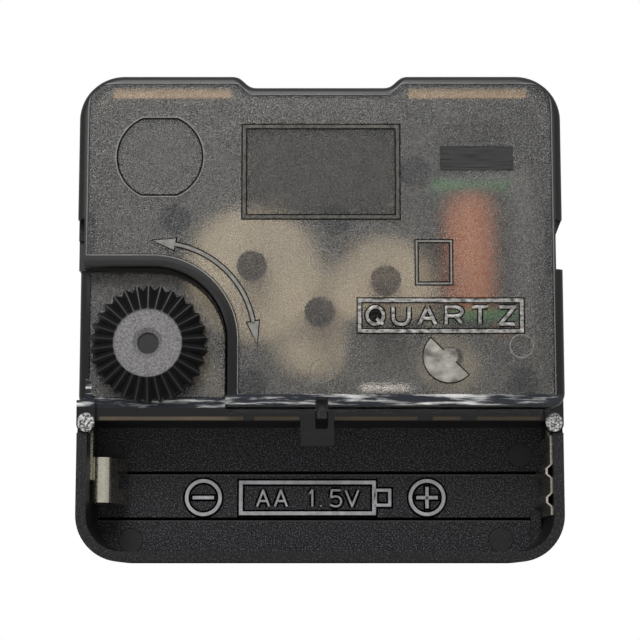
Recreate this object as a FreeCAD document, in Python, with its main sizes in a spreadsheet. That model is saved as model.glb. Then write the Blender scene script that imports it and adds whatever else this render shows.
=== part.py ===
"""Quartz clock movement of the 56 mm class, with its battery bay below the works.

Frame: +X to the right and +Z up as seen from behind, +Y out of the dial.
The origin is the hand axis at the dial side of the case. Every piece lies at
a depth behind the dial, and depth d is the plane Y = -d.
"""
import FreeCAD, Part
import math
import os
import re
import Sketcher

VECTOR = FreeCAD.Vector

# Driving sizes in millimetres, degrees and counts
SIZES = {
    # Case
    "case_half_width": 28.1,
    "case_top": 27.9,
    "case_bottom": 28.6,
    "top_corner": 5.2,
    "bottom_corner": 5.4,
    "front_wall": 1.2,
    "side_wall": 1.2,
    "works_rim": 10.0,
    "bay_rim": 12.9,
    "notch_half": 8.1,
    "notch_slope": 1.5,
    "notch_depth": 1.35,
    "notch_round": 1.6,
    # Battery bay
    "bay_top": 12.3,
    "mid_wall_foot": 1.3,
    "mid_wall_tip": 1.0,
    "bay_corner": 4.1,
    "end_stop_width": 1.2,
    "end_stop_height": 1.0,
    "end_stop_top": 22.5,
    # Cover
    "cover_back": 15.5,
    "cover_skin": 1.2,
    "cover_wall": 1.2,
    "cover_bottom": 11.25,
    "cover_low_corner": 1.9,
    "edge_round": 0.9,
    "seam_gap": 0.05,
    # Recess for the setting knob
    "recess_floor": 12.0,
    "recess_top": 5.1,
    "recess_side": 10.9,
    "recess_corner": 8.5,
    "recess_skin": 1.0,
    # Ears, flange, tab and snaps of the cover
    "ear_width": 2.1,
    "ear_drop": 2.5,
    "ear_back": 13.3,
    "ear_seat": 12.1,
    "flange_width": 1.05,
    "flange_thick": 0.6,
    "tab_centre": -0.32,
    "tab_width": 3.9,
    "tab_flat": 1.3,
    "tab_reach": 1.6,
    "tab_fall": 1.4,
    "tab_thick": 0.8,
    "latch_centre": 0.2,
    "latch_width": 1.2,
    "latch_back": 14.4,
    "latch_thick": 2.2,
    "latch_gap": 0.15,
    "snap_low": 4.9,
    "snap_high": 10.8,
    "snap_depth": 0.85,
    "snap_hook": 2.3,
    "snap_hook_back": 13.5,
    "snap_floor": 6.5,
    "snap_ledge": 13.0,
    "snap_pad": 0.8,
    "gusset_height": 2.1,
    "gusset_thick": 1.0,
    # Hand shafts and threaded bush
    "running_gap": 0.06,
    "bush_radius": 4.0,
    "bush_length": 5.0,
    "bush_flange": 5.2,
    "bush_flange_thick": 0.7,
    "bush_chamfer": 0.4,
    "bush_step": 0.3,
    "hour_pipe_radius": 2.55,
    "hour_pipe_end": 8.3,
    "minute_pipe_radius": 1.7,
    "minute_pipe_end": 11.4,
    "minute_sleeve_radius": 1.5,
    "seconds_radius": 0.5,
    "seconds_end": 13.2,
    "tip_chamfer": 0.15,
    "seat_gap": 0.15,
    "relief_length": 1.5,
    "pipe_relief": 0.2,
    "seconds_relief": 0.17,
    # Levels of the works, from the dial side to the back
    "end_gap": 0.2,
    "level_gap": 0.3,
    "wheel_thick": 0.8,
    "face_spare": 0.1,
    "plate_gap": 0.3,
    "plate_thick": 0.8,
    "board_gap": 0.6,
    "board_thick": 0.8,
    # Gearing: distances between axes, and the bearing of each axis from the last
    "third_distance": 9.57,
    "third_bearing": 145.6,
    "second_distance": 8.45,
    "second_bearing": 26.0,
    "first_distance": 7.2,
    "first_bearing": 275.6,
    "rotor_distance": 7.2,
    "rotor_bearing": 346.0,
    "transfer_distance": 9.375,
    "transfer_bearing": 198.0,
    "setting_bearing": 183.7,
    "hour_teeth": 40,
    "transfer_leaves": 10,
    "transfer_teeth": 36,
    "cannon_teeth": 12,
    "setting_teeth": 20,
    "centre_teeth": 60,
    "third_leaves": 6,
    "third_teeth": 48,
    "seconds_leaves": 8,
    "seconds_teeth": 40,
    "second_leaves": 10,
    "second_teeth": 42,
    "first_leaves": 6,
    "first_teeth": 42,
    "rotor_leaves": 6,
    # Hubs, arbors and their bearings
    "arbor_radius": 0.4,
    "pivot_radius": 0.3,
    "hub_radius": 0.9,
    "centre_hub_radius": 2.3,
    "transfer_post_radius": 0.6,
    "clutch_thick": 0.15,
    "blind_depth": 0.7,
    "boss_wall": 0.9,
    "boss_height": 0.8,
    # Motor
    "disc_radius": 3.7,
    "disc_thick": 0.5,
    "magnet_radius": 2.6,
    "magnet_thick": 1.3,
    "stator_hole": 3.1,
    "stator_ring": 4.6,
    "stator_thick": 1.0,
    "stator_drop": 0.15,
    "stator_slot": 0.6,
    "stator_split": 35,
    "stator_root": 15,
    "stator_spread": 35,
    "stator_arm": 2.0,
    "stator_clear": 0.1,
    "coil_centre": 17.9,
    "coil_foot": 0.6,
    "coil_length": 14.4,
    "winding_radius": 3.4,
    "winding_crown": 0.15,
    "bobbin_radius": 1.75,
    "bobbin_flange_thick": 1.1,
    "bobbin_flange_deep": 3.6,
    "bobbin_wide": 4.6,
    "bobbin_narrow": 3.5,
    "bobbin_pin_side": 5.2,
    "bobbin_corner": 0.8,
    "core_width": 2.2,
    "core_thick": 1.0,
    "core_reach": 0.9,
    # Posts of the cover and pillars of the case, as places from the hand axis
    "post_radius": 1.8,
    "rotor_post_radius": 1.2,
    "post_left_x": 16.8,
    "post_left_z": 10.95,
    "post_mid_x": 1.83,
    "post_mid_z": 10.9,
    "post_right_x": 11.1,
    "post_right_z": 16.5,
    "post_low_x": 7.86,
    "post_low_z": 8.33,
    "post_board_x": 23.36,
    "post_board_z": 8.15,
    "pillar_low_z": 7.4,
    "pillar_radius": 1.4,
    "slim_pillar_x": 3.4,
    "slim_pillar_z": 9.2,
    "slim_pillar_radius": 0.7,
    "arm_pillar_high": 12.0,
    "arm_pillar_low": 2.0,
    "ring_pillar_high": 100,
    "ring_pillar_low": 300,
    "plate_margin": 1.9,
    "plate_edge": 1.4,
    "plate_corner": 1.2,
    # Circuit board and its parts
    "board_left": 2.9,
    "board_right": 26.0,
    "board_bottom": 9.9,
    "board_top": 0.3,
    "board_step_x": 12.6,
    "board_step": 1.2,
    "board_corner": 0.5,
    "board_hole_gap": 0.25,
    "window_radius": 4.0,
    "chip_x": 22.6,
    "chip_z": 4.1,
    "chip_radius": 1.7,
    "chip_height": 0.9,
    "chip_round": 0.6,
    "crystal_radius": 0.9,
    "crystal_length": 5.6,
    "crystal_left": 4.6,
    "crystal_z": 8.8,
    "crystal_lead_radius": 0.15,
    "crystal_lead_length": 1.2,
    "crystal_lead_half": 0.4,
    "tag_width": 0.7,
    "tag_thick": 0.2,
    "tag_reach": 1.8,
    "tag_first": 2.6,
    "tag_spacing": 1.7,
    # Battery contacts
    "strip": 0.25,
    "contact_foot": 0.15,
    "negative_centre": 19.0,
    "negative_width": 5.3,
    "negative_crest": 8.9,
    "negative_bend": 0.9,
    "negative_span": 2.25,
    "negative_toe": 3.7,
    "negative_toe_depth": 2.6,
    "fork_width": 1.7,
    "fork_top": 5.6,
    "positive_top": 14.0,
    "positive_bottom": 23.2,
    "positive_back": 11.6,
    "bump_reach": 0.55,
    "bump_width": 1.6,
    "bump_foot": 0.5,
    "bump_upper": 18.15,
    "bump_lower": 21.45,
    "lead_front": 7.4,
    "lead_width": 1.6,
    "lead_clear": 0.1,
    "lead_end": 14.8,
    "lead_top": 7.9,
    "finger_run": 1.35,
    "finger_tip": 0.35,
    # Setting knob
    "knob_radius": 6.8,
    "knob_valley": 6.3,
    "knob_ridges": 30,
    "knob_gap": 0.35,
    "knob_back": 15.35,
    "knob_hub": 3.95,
    "knob_hub_step": 0.2,
    "knob_crest_fall": 0.75,
    "knob_groove_inner": 0.45,
    "knob_groove_outer": 1.1,
    "knob_dish": 1.75,
    "knob_dish_deep": 0.5,
    "setting_radius": 1.25,
    # One overrun for every cut
    "overrun": 1.0,
}

# Tooth shapes as shares of the module and of the tooth pitch
ADDENDUM_SHARE = 0.85
DEDENDUM_SHARE = 1.25
WHEEL_SHARES = (0.28, 0.07)
LEAF_SHARES = (0.22, 0.07)
GROOVE_SHARE = 0.9
ROUND_SHARE = 0.45

# Places of the axes, as expressions of the driving sizes
THIRD_X = "(third_distance * cos(third_bearing))"
THIRD_Z = "(third_distance * sin(third_bearing))"
SECOND_X = "(second_distance * cos(second_bearing))"
SECOND_Z = "(second_distance * sin(second_bearing))"
FIRST_X = f"({SECOND_X} + first_distance * cos(first_bearing))"
FIRST_Z = f"({SECOND_Z} + first_distance * sin(first_bearing))"
ROTOR_X = f"({FIRST_X} + rotor_distance * cos(rotor_bearing))"
ROTOR_Z = f"({FIRST_Z} + rotor_distance * sin(rotor_bearing))"
TRANSFER_MODULE = "(2 * transfer_distance / (transfer_teeth + cannon_teeth))"
SETTING_DISTANCE = f"({TRANSFER_MODULE} * (transfer_teeth + setting_teeth) / 2)"
TRANSFER_X = "(transfer_distance * cos(transfer_bearing))"
TRANSFER_Z = "(transfer_distance * sin(transfer_bearing))"
SETTING_X = f"({TRANSFER_X} + {SETTING_DISTANCE} * cos(setting_bearing))"
SETTING_Z = f"({TRANSFER_Z} + {SETTING_DISTANCE} * sin(setting_bearing))"

# Depths of the levels, each stacked on the one before
HOUR_LEVEL = "(front_wall + end_gap)"
TRANSFER_LEVEL = f"({HOUR_LEVEL} + wheel_thick + level_gap)"
CENTRE_LEVEL = f"({TRANSFER_LEVEL} + wheel_thick + level_gap + face_spare)"
PLATE_LEVEL = f"({CENTRE_LEVEL} + wheel_thick + plate_gap)"
PLATE_BACK = f"({PLATE_LEVEL} + plate_thick)"
SECONDS_LEVEL = f"({PLATE_BACK} + level_gap + end_gap)"
THIRD_LEVEL = f"({SECONDS_LEVEL} + wheel_thick + level_gap + end_gap)"
THIRD_BACK = f"({THIRD_LEVEL} + wheel_thick + face_spare)"
FIRST_LEVEL = f"({THIRD_LEVEL} + wheel_thick + level_gap + end_gap)"
FIRST_BACK = f"({FIRST_LEVEL} + wheel_thick + face_spare)"
BOARD_LEVEL = f"({FIRST_LEVEL} + wheel_thick + board_gap)"
BOARD_BACK = f"({BOARD_LEVEL} + board_thick)"
DISC_BACK = f"({FIRST_LEVEL} - level_gap)"
DISC_LEVEL = f"({DISC_BACK} - disc_thick)"
MAGNET_LEVEL = f"({DISC_LEVEL} - magnet_thick)"
STATOR_BACK = f"({DISC_LEVEL} - stator_drop)"
STATOR_LEVEL = f"({STATOR_BACK} - stator_thick)"
COIL_LEVEL = f"({STATOR_BACK} + core_thick / 2)"
COVER_RIM = "(works_rim + seam_gap)"
COVER_INNER = "(cover_back - cover_skin)"
KNOB_FRONT = "(recess_floor + knob_gap)"
LEAD_BACK = "(lead_front + lead_width)"

# Inner faces of the case and of the cover
CASE_SIDE = "(case_half_width - side_wall)"
WORKS_BOTTOM = "(bay_top - mid_wall_foot)"
BAY_BOTTOM = "(case_bottom - side_wall)"
COVER_SIDE = "(case_half_width - cover_wall)"
COVER_LOW = "(cover_bottom - cover_wall)"
RECESS_BACK_X = "(recess_side - recess_skin)"
RECESS_BACK_Z = "(recess_top + recess_skin)"
FLANGE_FRONT = "(recess_floor - flange_thick)"
UPPER_FLANGE = "(coil_foot + coil_length)"

doc = FreeCAD.newDocument("QuartzMovement")
sheet = doc.addObject("Spreadsheet::Sheet", "Sizes")
for row, (alias, number) in enumerate(SIZES.items(), start=1):
    sheet.set(f"A{row}", alias)
    sheet.set(f"B{row}", str(number))
    sheet.setAlias(f"B{row}", alias)
doc.recompute()

ALIAS = re.compile(r"(?<![\w.])(" + "|".join(sorted(SIZES, key=len, reverse=True)) + r")(?!\w)")
PARTS = {}


def size(alias):
    """Value of a cell, for the shapes that a formula makes."""
    return float(getattr(sheet, alias))


def bind(item, prop, text):
    """Tie a property to an expression of cell names."""
    item.setExpression(prop, ALIAS.sub(r"Sizes.\1", text))


def place(item, along="0", depth="0", up="0"):
    """Tie an object's place to sizes: to the right, behind the dial, and up."""
    bind(item, "Placement.Base.x", along)
    bind(item, "Placement.Base.y", f"-({depth})")
    bind(item, "Placement.Base.z", up)
    return item


def named(label, item):
    """Give a finished piece its name and put it on the list of pieces."""
    item.Label = label
    PARTS[label] = item
    return item


# Sketches

def new_body(label):
    body = doc.addObject("PartDesign::Body", label)
    body.Label = label
    return body


def new_sketch(body, offset, plane="XZ_Plane"):
    """Empty sketch on one of the body's planes, moved along its normal."""
    base = next(item for item in body.Origin.OriginFeatures if item.Role == plane)
    sketch = body.newObject("Sketcher::SketchObject", "Sketch")
    sketch.AttachmentSupport = [(base, "")]
    sketch.MapMode = "FlatFace"
    bind(sketch, "AttachmentOffset.Base.z", offset)
    return sketch


def hold_point(sketch, line, end, across, up):
    """Hold one point of a sketch at two sizes from the origin."""
    for kind, text in (("DistanceX", across), ("DistanceY", up)):
        index = sketch.addConstraint(Sketcher.Constraint(kind, -1, 1, line, end, 1.0))
        bind(sketch, f"Constraints[{index}]", text)


def add_loop(sketch, corners):
    """Closed loop of straight sides through the corners."""
    first = sketch.GeometryCount
    count = len(corners)
    turn = 2 * math.pi / count
    spots = [VECTOR(math.cos(turn * i), math.sin(turn * i), 0) for i in range(count)]
    for i in range(count):
        sketch.addGeometry(Part.LineSegment(spots[i], spots[(i + 1) % count]), False)
    for i in range(count):
        following = first + (i + 1) % count
        sketch.addConstraint(Sketcher.Constraint("Coincident", first + i, 2, following, 1))
    for i, (across, up) in enumerate(corners):
        hold_point(sketch, first + i, 1, across, up)


def add_circle(sketch, across, up, radius):
    line = sketch.addGeometry(Part.Circle(VECTOR(0, 0, 0), VECTOR(0, 0, 1), 1.0), False)
    hold_point(sketch, line, 3, across, up)
    index = sketch.addConstraint(Sketcher.Constraint("Radius", line, 1.0))
    bind(sketch, f"Constraints[{index}]", radius)


def outline(body, offset, *loops, plane="XZ_Plane"):
    """Sketch of one or more closed loops of straight sides."""
    sketch = new_sketch(body, offset, plane)
    for corners in loops:
        add_loop(sketch, corners)
    doc.recompute()
    return sketch


def circles(body, offset, *rounds):
    """Sketch of circles, each given as across, up and radius."""
    sketch = new_sketch(body, offset)
    for across, up, radius in rounds:
        add_circle(sketch, across, up, radius)
    return sketch


def box_corners(left, low, right, high):
    return [(left, low), (right, low), (right, high), (left, high)]


# Features

def pad(body, sketch, length):
    """Raise a sketch along its normal, which on the XZ plane points away from the dial."""
    feature = body.newObject("PartDesign::Pad", "Pad")
    feature.Profile = sketch
    bind(feature, "Length", length)
    doc.recompute()
    return feature


def pocket(body, sketch, length):
    """Cut a sketch against its normal, which on the XZ plane is towards the dial."""
    before = body.Shape.Volume
    feature = body.newObject("PartDesign::Pocket", "Pocket")
    feature.Profile = sketch
    bind(feature, "Length", length)
    doc.recompute()
    if not body.Shape.Volume < before:
        raise ValueError(f"{body.Label}: a pocket cuts nothing")
    return feature


def raised(body, front, back, *loops):
    """Pad on a body between two depths."""
    return pad(body, outline(body, front, *loops), f"({back}) - ({front})")


def sunk(body, front, back, *loops):
    """Pocket in a body between two depths."""
    return pocket(body, outline(body, back, *loops), f"({back}) - ({front})")


def raised_round(body, front, back, *rounds):
    return pad(body, circles(body, front, *rounds), f"({back}) - ({front})")


def sunk_round(body, front, back, *rounds):
    return pocket(body, circles(body, back, *rounds), f"({back}) - ({front})")


def round_off(body, feature, picks, radius):
    """Fillet the edges of the last feature that the test picks."""
    names = [f"Edge{i}" for i, edge in enumerate(feature.Shape.Edges, start=1) if picks(edge)]
    if not names:
        raise ValueError(f"{body.Label}: no edge to round")
    fillet = body.newObject("PartDesign::Fillet", "Fillet")
    fillet.Base = (feature, names)
    bind(fillet, "Radius", radius)
    doc.recompute()
    return fillet


def on_corners(feature, numbers):
    """Test for the edges that stand on the chosen corners of a feature's first loop."""
    sketch = feature.Profile[0]
    spots = [sketch.Placement.multVec(sketch.Geometry[i].StartPoint) for i in numbers]
    normal = sketch.Placement.Rotation.multVec(VECTOR(0, 0, 1))

    def picks(edge):
        if len(edge.Vertexes) != 2 or edge.Curve.TypeId != "Part::GeomLine":
            return False
        start = edge.Vertexes[0].Point
        run = edge.Vertexes[1].Point - start
        near = run.Length / 1000
        if run.cross(normal).Length > near:
            return False
        return any((start - spot).cross(normal).Length < near for spot in spots)

    return picks


def turned(label, corners, along="0", up="0"):
    """Body turned about a line along Y: corners are radius and depth."""
    body = new_body(label)
    sketch = outline(body, "0", [(far, f"-({depth})") for far, depth in corners], plane="XY_Plane")
    feature = body.newObject("PartDesign::Revolution", "Revolution")
    feature.Profile = sketch
    feature.ReferenceAxis = (sketch, ["V_Axis"])
    doc.recompute()
    place(body, along, "0", up)
    return body


def rod(label, radius, front, back, along="0", up="0"):
    """Round bar along Y between two depths."""
    bar = doc.addObject("Part::Cylinder", label)
    bar.Placement.Rotation = FreeCAD.Rotation(VECTOR(1, 0, 0), 90)
    bind(bar, "Radius", radius)
    bind(bar, "Height", f"({back}) - ({front})")
    return place(bar, along, front, up)


def join(label, *items):
    whole = doc.addObject("Part::MultiFuse", label)
    whole.Shapes = list(items)
    whole.Refine = True
    return whole


def cut(label, base, tool):
    rest = doc.addObject("Part::Cut", label)
    rest.Base = base
    rest.Tool = tool
    return rest


# Toothed wheels

def module_of(distance, teeth, other):
    """Module of two meshing wheels, from the distance between their axes."""
    return 2 * size(distance) / (size(teeth) + size(other))


def meshing(bearing, teeth, phase, other):
    """Angle of a tooth of the second wheel that lies in a gap of the first."""
    pitch = 360.0 / size(teeth)
    other_pitch = 360.0 / size(other)
    return bearing + 180.0 - other_pitch * (0.5 - (bearing - phase) / pitch)


def toothed(label, teeth, module, phase, shares, spare, front, along="0", up="0"):
    """Toothed disc of one wheel's thickness, or a little more on both faces for leaves."""
    count = int(size(teeth))
    pitch = 360.0 / count
    middle = module * count / 2
    root = middle - DEDENDUM_SHARE * module
    tip = middle + ADDENDUM_SHARE * module
    root_share, tip_share = shares
    points = []
    for i in range(count):
        steps = ((root, -root_share), (tip, -tip_share), (tip, tip_share), (root, root_share))
        for radius, share in steps:
            angle = math.radians(phase + (i + share) * pitch)
            points.append(VECTOR(radius * math.cos(angle), 0, radius * math.sin(angle)))
    face = Part.Face(Part.makePolygon(points + points[:1]))
    disc = doc.addObject("Part::Feature", label)
    disc.Shape = face.extrude(VECTOR(0, -(size("wheel_thick") + 2 * spare), 0))
    return place(disc, along, f"{front}", up)


def wheel(label, teeth, module, phase, level, along="0", up="0"):
    return toothed(label, teeth, module, phase, WHEEL_SHARES, 0, level, along, up)


def leaves(label, teeth, module, phase, level, along="0", up="0"):
    """Pinion that stands out a little on both sides of the wheel that it meets."""
    spare = size("face_spare")
    return toothed(label, teeth, module, phase, LEAF_SHARES, spare, f"({level} - face_spare)", along, up)


# Outlines shared by the case and the cover

def rim_corners(low):
    """Outer outline with the dip in the middle of the top side."""
    return [
        ("-case_half_width", f"-({low})"),
        ("case_half_width", f"-({low})"),
        ("case_half_width", "case_top"),
        ("notch_half + notch_slope", "case_top"),
        ("notch_half", "case_top - notch_depth"),
        ("-notch_half", "case_top - notch_depth"),
        ("-(notch_half + notch_slope)", "case_top"),
        ("-case_half_width", "case_top"),
    ]


def inner_top(wall):
    """Inner face of the top side, from right to left, one wall inside the outline."""
    shift = f"({wall} * tan(atan(notch_depth / notch_slope) / 2))"
    return [
        (f"case_half_width - {wall}", f"case_top - {wall}"),
        (f"notch_half + notch_slope + {shift}", f"case_top - {wall}"),
        (f"notch_half + {shift}", f"case_top - notch_depth - {wall}"),
        (f"-(notch_half + {shift})", f"case_top - notch_depth - {wall}"),
        (f"-(notch_half + notch_slope + {shift})", f"case_top - {wall}"),
        (f"-(case_half_width - {wall})", f"case_top - {wall}"),
    ]


def round_rim(body, feature, profile, low_corner):
    """Round the corners and the dip of the outer outline."""
    rounds = (((2, 7), "top_corner"), ((3, 4, 5, 6), "notch_round"), ((0, 1), low_corner))
    for numbers, radius in rounds:
        feature = round_off(body, feature, on_corners(profile, numbers), radius)
    return feature


def round_inner(body, feature, first, wall):
    """Round the inner top side to match, starting at its first corner's number."""
    profile = feature
    corners = (first, first + 5)
    humps = (first + 1, first + 4)
    dips = (first + 2, first + 3)
    feature = round_off(body, feature, on_corners(profile, corners), f"top_corner - {wall}")
    feature = round_off(body, feature, on_corners(profile, humps), f"notch_round - {wall}")
    return round_off(body, feature, on_corners(profile, dips), f"notch_round + {wall}")


# Moulded case with the battery bay

case = new_body("front_case")
block = raised(case, "0", "bay_rim", rim_corners("case_bottom"))
ABOVE = "(bay_rim + overrun)"
BEYOND = "(case_half_width + overrun)"
HIGH = "(case_top + overrun)"
TIP = "(bay_top - mid_wall_tip)"
sunk(case, "works_rim", ABOVE, box_corners(f"-{BEYOND}", f"-{TIP}", BEYOND, HIGH))
sunk(case, f"({FLANGE_FRONT} - seam_gap)", ABOVE, box_corners(f"-{BEYOND}", "-bay_top", BEYOND, HIGH))
EAR_LOW = "-(cover_bottom + ear_drop + seam_gap)"
EAR_SIDE = "(case_half_width - ear_width - seam_gap)"
sunk(case, "ear_seat", ABOVE,
     box_corners(f"-{BEYOND}", EAR_LOW, f"-{EAR_SIDE}", "0"),
     box_corners(EAR_SIDE, EAR_LOW, BEYOND, "0"))
WORKS_LOW = [(f"-{CASE_SIDE}", f"-{WORKS_BOTTOM}"), (CASE_SIDE, f"-{WORKS_BOTTOM}")]
works = sunk(case, "front_wall", "(works_rim + overrun)", WORKS_LOW + inner_top("side_wall"))
round_inner(case, works, 2, "side_wall")
bay = sunk(case, "front_wall", ABOVE, box_corners(f"-{CASE_SIDE}", f"-{BAY_BOTTOM}", CASE_SIDE, "-bay_top"))
bay = round_off(case, bay, on_corners(bay, (0, 1)), "bay_corner")
round_rim(case, bay, block, "bottom_corner")

# Stop beside the positive contact
STOP_RIGHT = f"({CASE_SIDE} - strip - seam_gap)"
raised(case, "front_wall / 2", "front_wall + end_stop_height",
       [(f"{STOP_RIGHT} - end_stop_width", f"-({BAY_BOTTOM} + side_wall / 2)"),
        (f"{STOP_RIGHT} - bay_corner / 2", f"-({BAY_BOTTOM} + side_wall / 2)"),
        (STOP_RIGHT, f"-({BAY_BOTTOM} - bay_corner / 2)"),
        (STOP_RIGHT, "-end_stop_top"),
        (f"{STOP_RIGHT} - end_stop_width", "-end_stop_top")])

# Latch in the middle of the wall, hook on the left and cut on the right
LATCH_LEFT = "(latch_centre - latch_width / 2)"
LATCH_RIGHT = "(latch_centre + latch_width / 2)"
latch = raised(case, "works_rim", "latch_back",
               box_corners(LATCH_LEFT, "-bay_top", LATCH_RIGHT, "latch_thick - bay_top"))
HOOK_LOW = "(snap_high - snap_hook + seam_gap)"
HOOK_RIGHT = "-(case_half_width - snap_depth + seam_gap)"
raised(case, "works_rim - front_wall", "snap_hook_back",
       box_corners("-case_half_width", HOOK_LOW, HOOK_RIGHT, "snap_high"))
raised(case, "front_wall / 2", "works_rim",
       box_corners(f"{CASE_SIDE} - snap_pad", "snap_low - snap_pad", "case_half_width - snap_depth",
                   "snap_high + snap_pad"))
sunk(case, "snap_floor", ABOVE, box_corners("case_half_width - snap_depth", "snap_low", BEYOND, "snap_high"))

# Slots that let the contact leads into the works
SLOT_SIDE = f"({CASE_SIDE} - strip - lead_clear)"
sunk(case, "lead_front - lead_clear", f"{LEAD_BACK} + lead_clear",
     box_corners(f"-{CASE_SIDE}", "-(bay_top + overrun)", f"-{SLOT_SIDE}", f"-{WORKS_BOTTOM}"),
     box_corners(SLOT_SIDE, "-(bay_top + overrun)", CASE_SIDE, f"-{WORKS_BOTTOM}"))

# Pillars and bearing bosses on the floor
RING_MIDDLE = "((stator_hole + stator_ring) / 2)"
ARM_X = "(coil_centre + bobbin_pin_side + stator_clear + stator_arm / 2)"
FLOOR = "(front_wall / 2)"
raised_round(case, FLOOR, PLATE_LEVEL,
             ("-post_left_x", "post_left_z", "pillar_radius"),
             ("post_mid_x", "post_mid_z", "pillar_radius"),
             ("post_right_x", "post_right_z", "pillar_radius"),
             ("post_right_x", "-pillar_low_z", "pillar_radius"))
raised_round(case, FLOOR, BOARD_LEVEL,
             ("slim_pillar_x", "-slim_pillar_z", "slim_pillar_radius"),
             ("post_board_x", "-post_board_z", "pillar_radius"))
raised_round(case, FLOOR, STATOR_LEVEL,
             (ARM_X, "arm_pillar_high", "slim_pillar_radius"),
             (ARM_X, "arm_pillar_low", "slim_pillar_radius"),
             (f"{ROTOR_X} + {RING_MIDDLE} * cos(ring_pillar_high)",
              f"{ROTOR_Z} + {RING_MIDDLE} * sin(ring_pillar_high)", "slim_pillar_radius"),
             (f"{ROTOR_X} + {RING_MIDDLE} * cos(ring_pillar_low)",
              f"{ROTOR_Z} + {RING_MIDDLE} * sin(ring_pillar_low)", "slim_pillar_radius"))
BOSS_BACK = "(front_wall + boss_height)"
ROTOR_BOSS = f"({MAGNET_LEVEL} - end_gap)"
raised_round(case, FLOOR, BOSS_BACK,
             (THIRD_X, THIRD_Z, "arbor_radius + running_gap + boss_wall"),
             (SETTING_X, SETTING_Z, "setting_radius + running_gap + boss_wall"))
raised_round(case, FLOOR, ROTOR_BOSS, (ROTOR_X, ROTOR_Z, "rotor_post_radius"))
sunk_round(case, f"{BOSS_BACK} - blind_depth", BOSS_BACK,
           (THIRD_X, THIRD_Z, "arbor_radius + running_gap"),
           (SETTING_X, SETTING_Z, "setting_radius + running_gap"))
sunk_round(case, f"{ROTOR_BOSS} - blind_depth", ROTOR_BOSS, (ROTOR_X, ROTOR_Z, "pivot_radius + running_gap"))
sunk_round(case, FLOOR, "front_wall + overrun", (TRANSFER_X, TRANSFER_Z, "transfer_post_radius"))

# Stepped seat of the threaded bush
BUSH_SHOULDER = "(bush_radius + bush_step)"
sunk_round(case, "-overrun", "front_wall + overrun", ("0", "0", BUSH_SHOULDER))
sunk_round(case, "front_wall - bush_flange_thick", "front_wall + overrun", ("0", "0", "bush_flange"))
named("front_case", case)

# Cover with the recess for the knob
cover = new_body("back_cover")
plate = raised(cover, COVER_RIM, "cover_back", rim_corners("cover_bottom"))
BACK = "(cover_back + overrun)"
recess = sunk(cover, "recess_floor", BACK,
              box_corners(f"-{BEYOND}", f"-({TIP} + overrun)", "-recess_side", "recess_top"))
round_off(cover, recess, on_corners(recess, (2,)), "recess_corner")
LOW_SIDE = [(f"-{RECESS_BACK_X}", f"-{COVER_LOW}"), (COVER_SIDE, f"-{COVER_LOW}")]
STEP_SIDE = [(f"-{COVER_SIDE}", RECESS_BACK_Z), (f"-{RECESS_BACK_X}", RECESS_BACK_Z)]
hollow = sunk(cover, f"({COVER_RIM} - overrun)", COVER_INNER, LOW_SIDE + inner_top("cover_wall") + STEP_SIDE)
rounded = round_inner(cover, hollow, 2, "cover_wall")
round_off(cover, rounded, on_corners(hollow, (9,)), "recess_corner + recess_skin")
under = sunk(cover, f"({COVER_RIM} - overrun)", "recess_floor - recess_skin",
             box_corners(f"-{COVER_SIDE}", f"-{COVER_LOW}", f"-{RECESS_BACK_X}", RECESS_BACK_Z))
rounded = round_rim(cover, under, plate, "cover_low_corner")


def on_back(edge):
    """Edges of the outer skin at the back, and the outer edges of the recess floor."""
    box = edge.BoundBox
    small = size("seam_gap") / 10
    if box.YLength > small:
        return False
    if abs(box.YMin + size("cover_back")) < small:
        return True
    if abs(box.YMin + size("recess_floor")) > small:
        return False
    outer = -size("case_half_width") + size("cover_low_corner") + small
    low = -size("cover_bottom") + size("cover_low_corner") + small
    return box.XMax < outer or box.ZMax < low


round_off(cover, rounded, on_back, "edge_round")

# Posts that hold the train plate, the board and the bearings
SKIN = f"({COVER_INNER} + cover_skin / 2)"
raised_round(cover, PLATE_BACK, SKIN,
             ("-post_left_x", "post_left_z", "post_radius"),
             ("post_mid_x", "post_mid_z", "post_radius"),
             ("post_right_x", "post_right_z", "post_radius"),
             ("-post_low_x", "-post_low_z", "post_radius"))
raised_round(cover, BOARD_BACK, SKIN, ("post_board_x", "-post_board_z", "post_radius"))
THIRD_POST = f"({THIRD_BACK} + end_gap)"
SECOND_POST = f"({FIRST_LEVEL} + wheel_thick + end_gap)"
FIRST_POST = f"({FIRST_BACK} + end_gap)"
raised_round(cover, THIRD_POST, SKIN, (THIRD_X, THIRD_Z, "post_radius"), ("0", "0", "post_radius"))
raised_round(cover, SECOND_POST, SKIN, (SECOND_X, SECOND_Z, "post_radius"))
raised_round(cover, FIRST_POST, SKIN,
             (FIRST_X, FIRST_Z, "post_radius"),
             (ROTOR_X, ROTOR_Z, "rotor_post_radius"))
sunk_round(cover, f"{THIRD_POST} - overrun", f"{THIRD_POST} + blind_depth",
           (THIRD_X, THIRD_Z, "arbor_radius + running_gap"),
           ("0", "0", "seconds_radius + running_gap"))
sunk_round(cover, f"{SECOND_POST} - overrun", f"{SECOND_POST} + blind_depth",
           (SECOND_X, SECOND_Z, "arbor_radius + running_gap"))
sunk_round(cover, f"{FIRST_POST} - overrun", f"{FIRST_POST} + blind_depth",
           (FIRST_X, FIRST_Z, "arbor_radius + running_gap"),
           (ROTOR_X, ROTOR_Z, "pivot_radius + running_gap"))
sunk_round(cover, "recess_floor - recess_skin - overrun", "recess_floor + overrun",
           (SETTING_X, SETTING_Z, "setting_radius + running_gap"))

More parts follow.
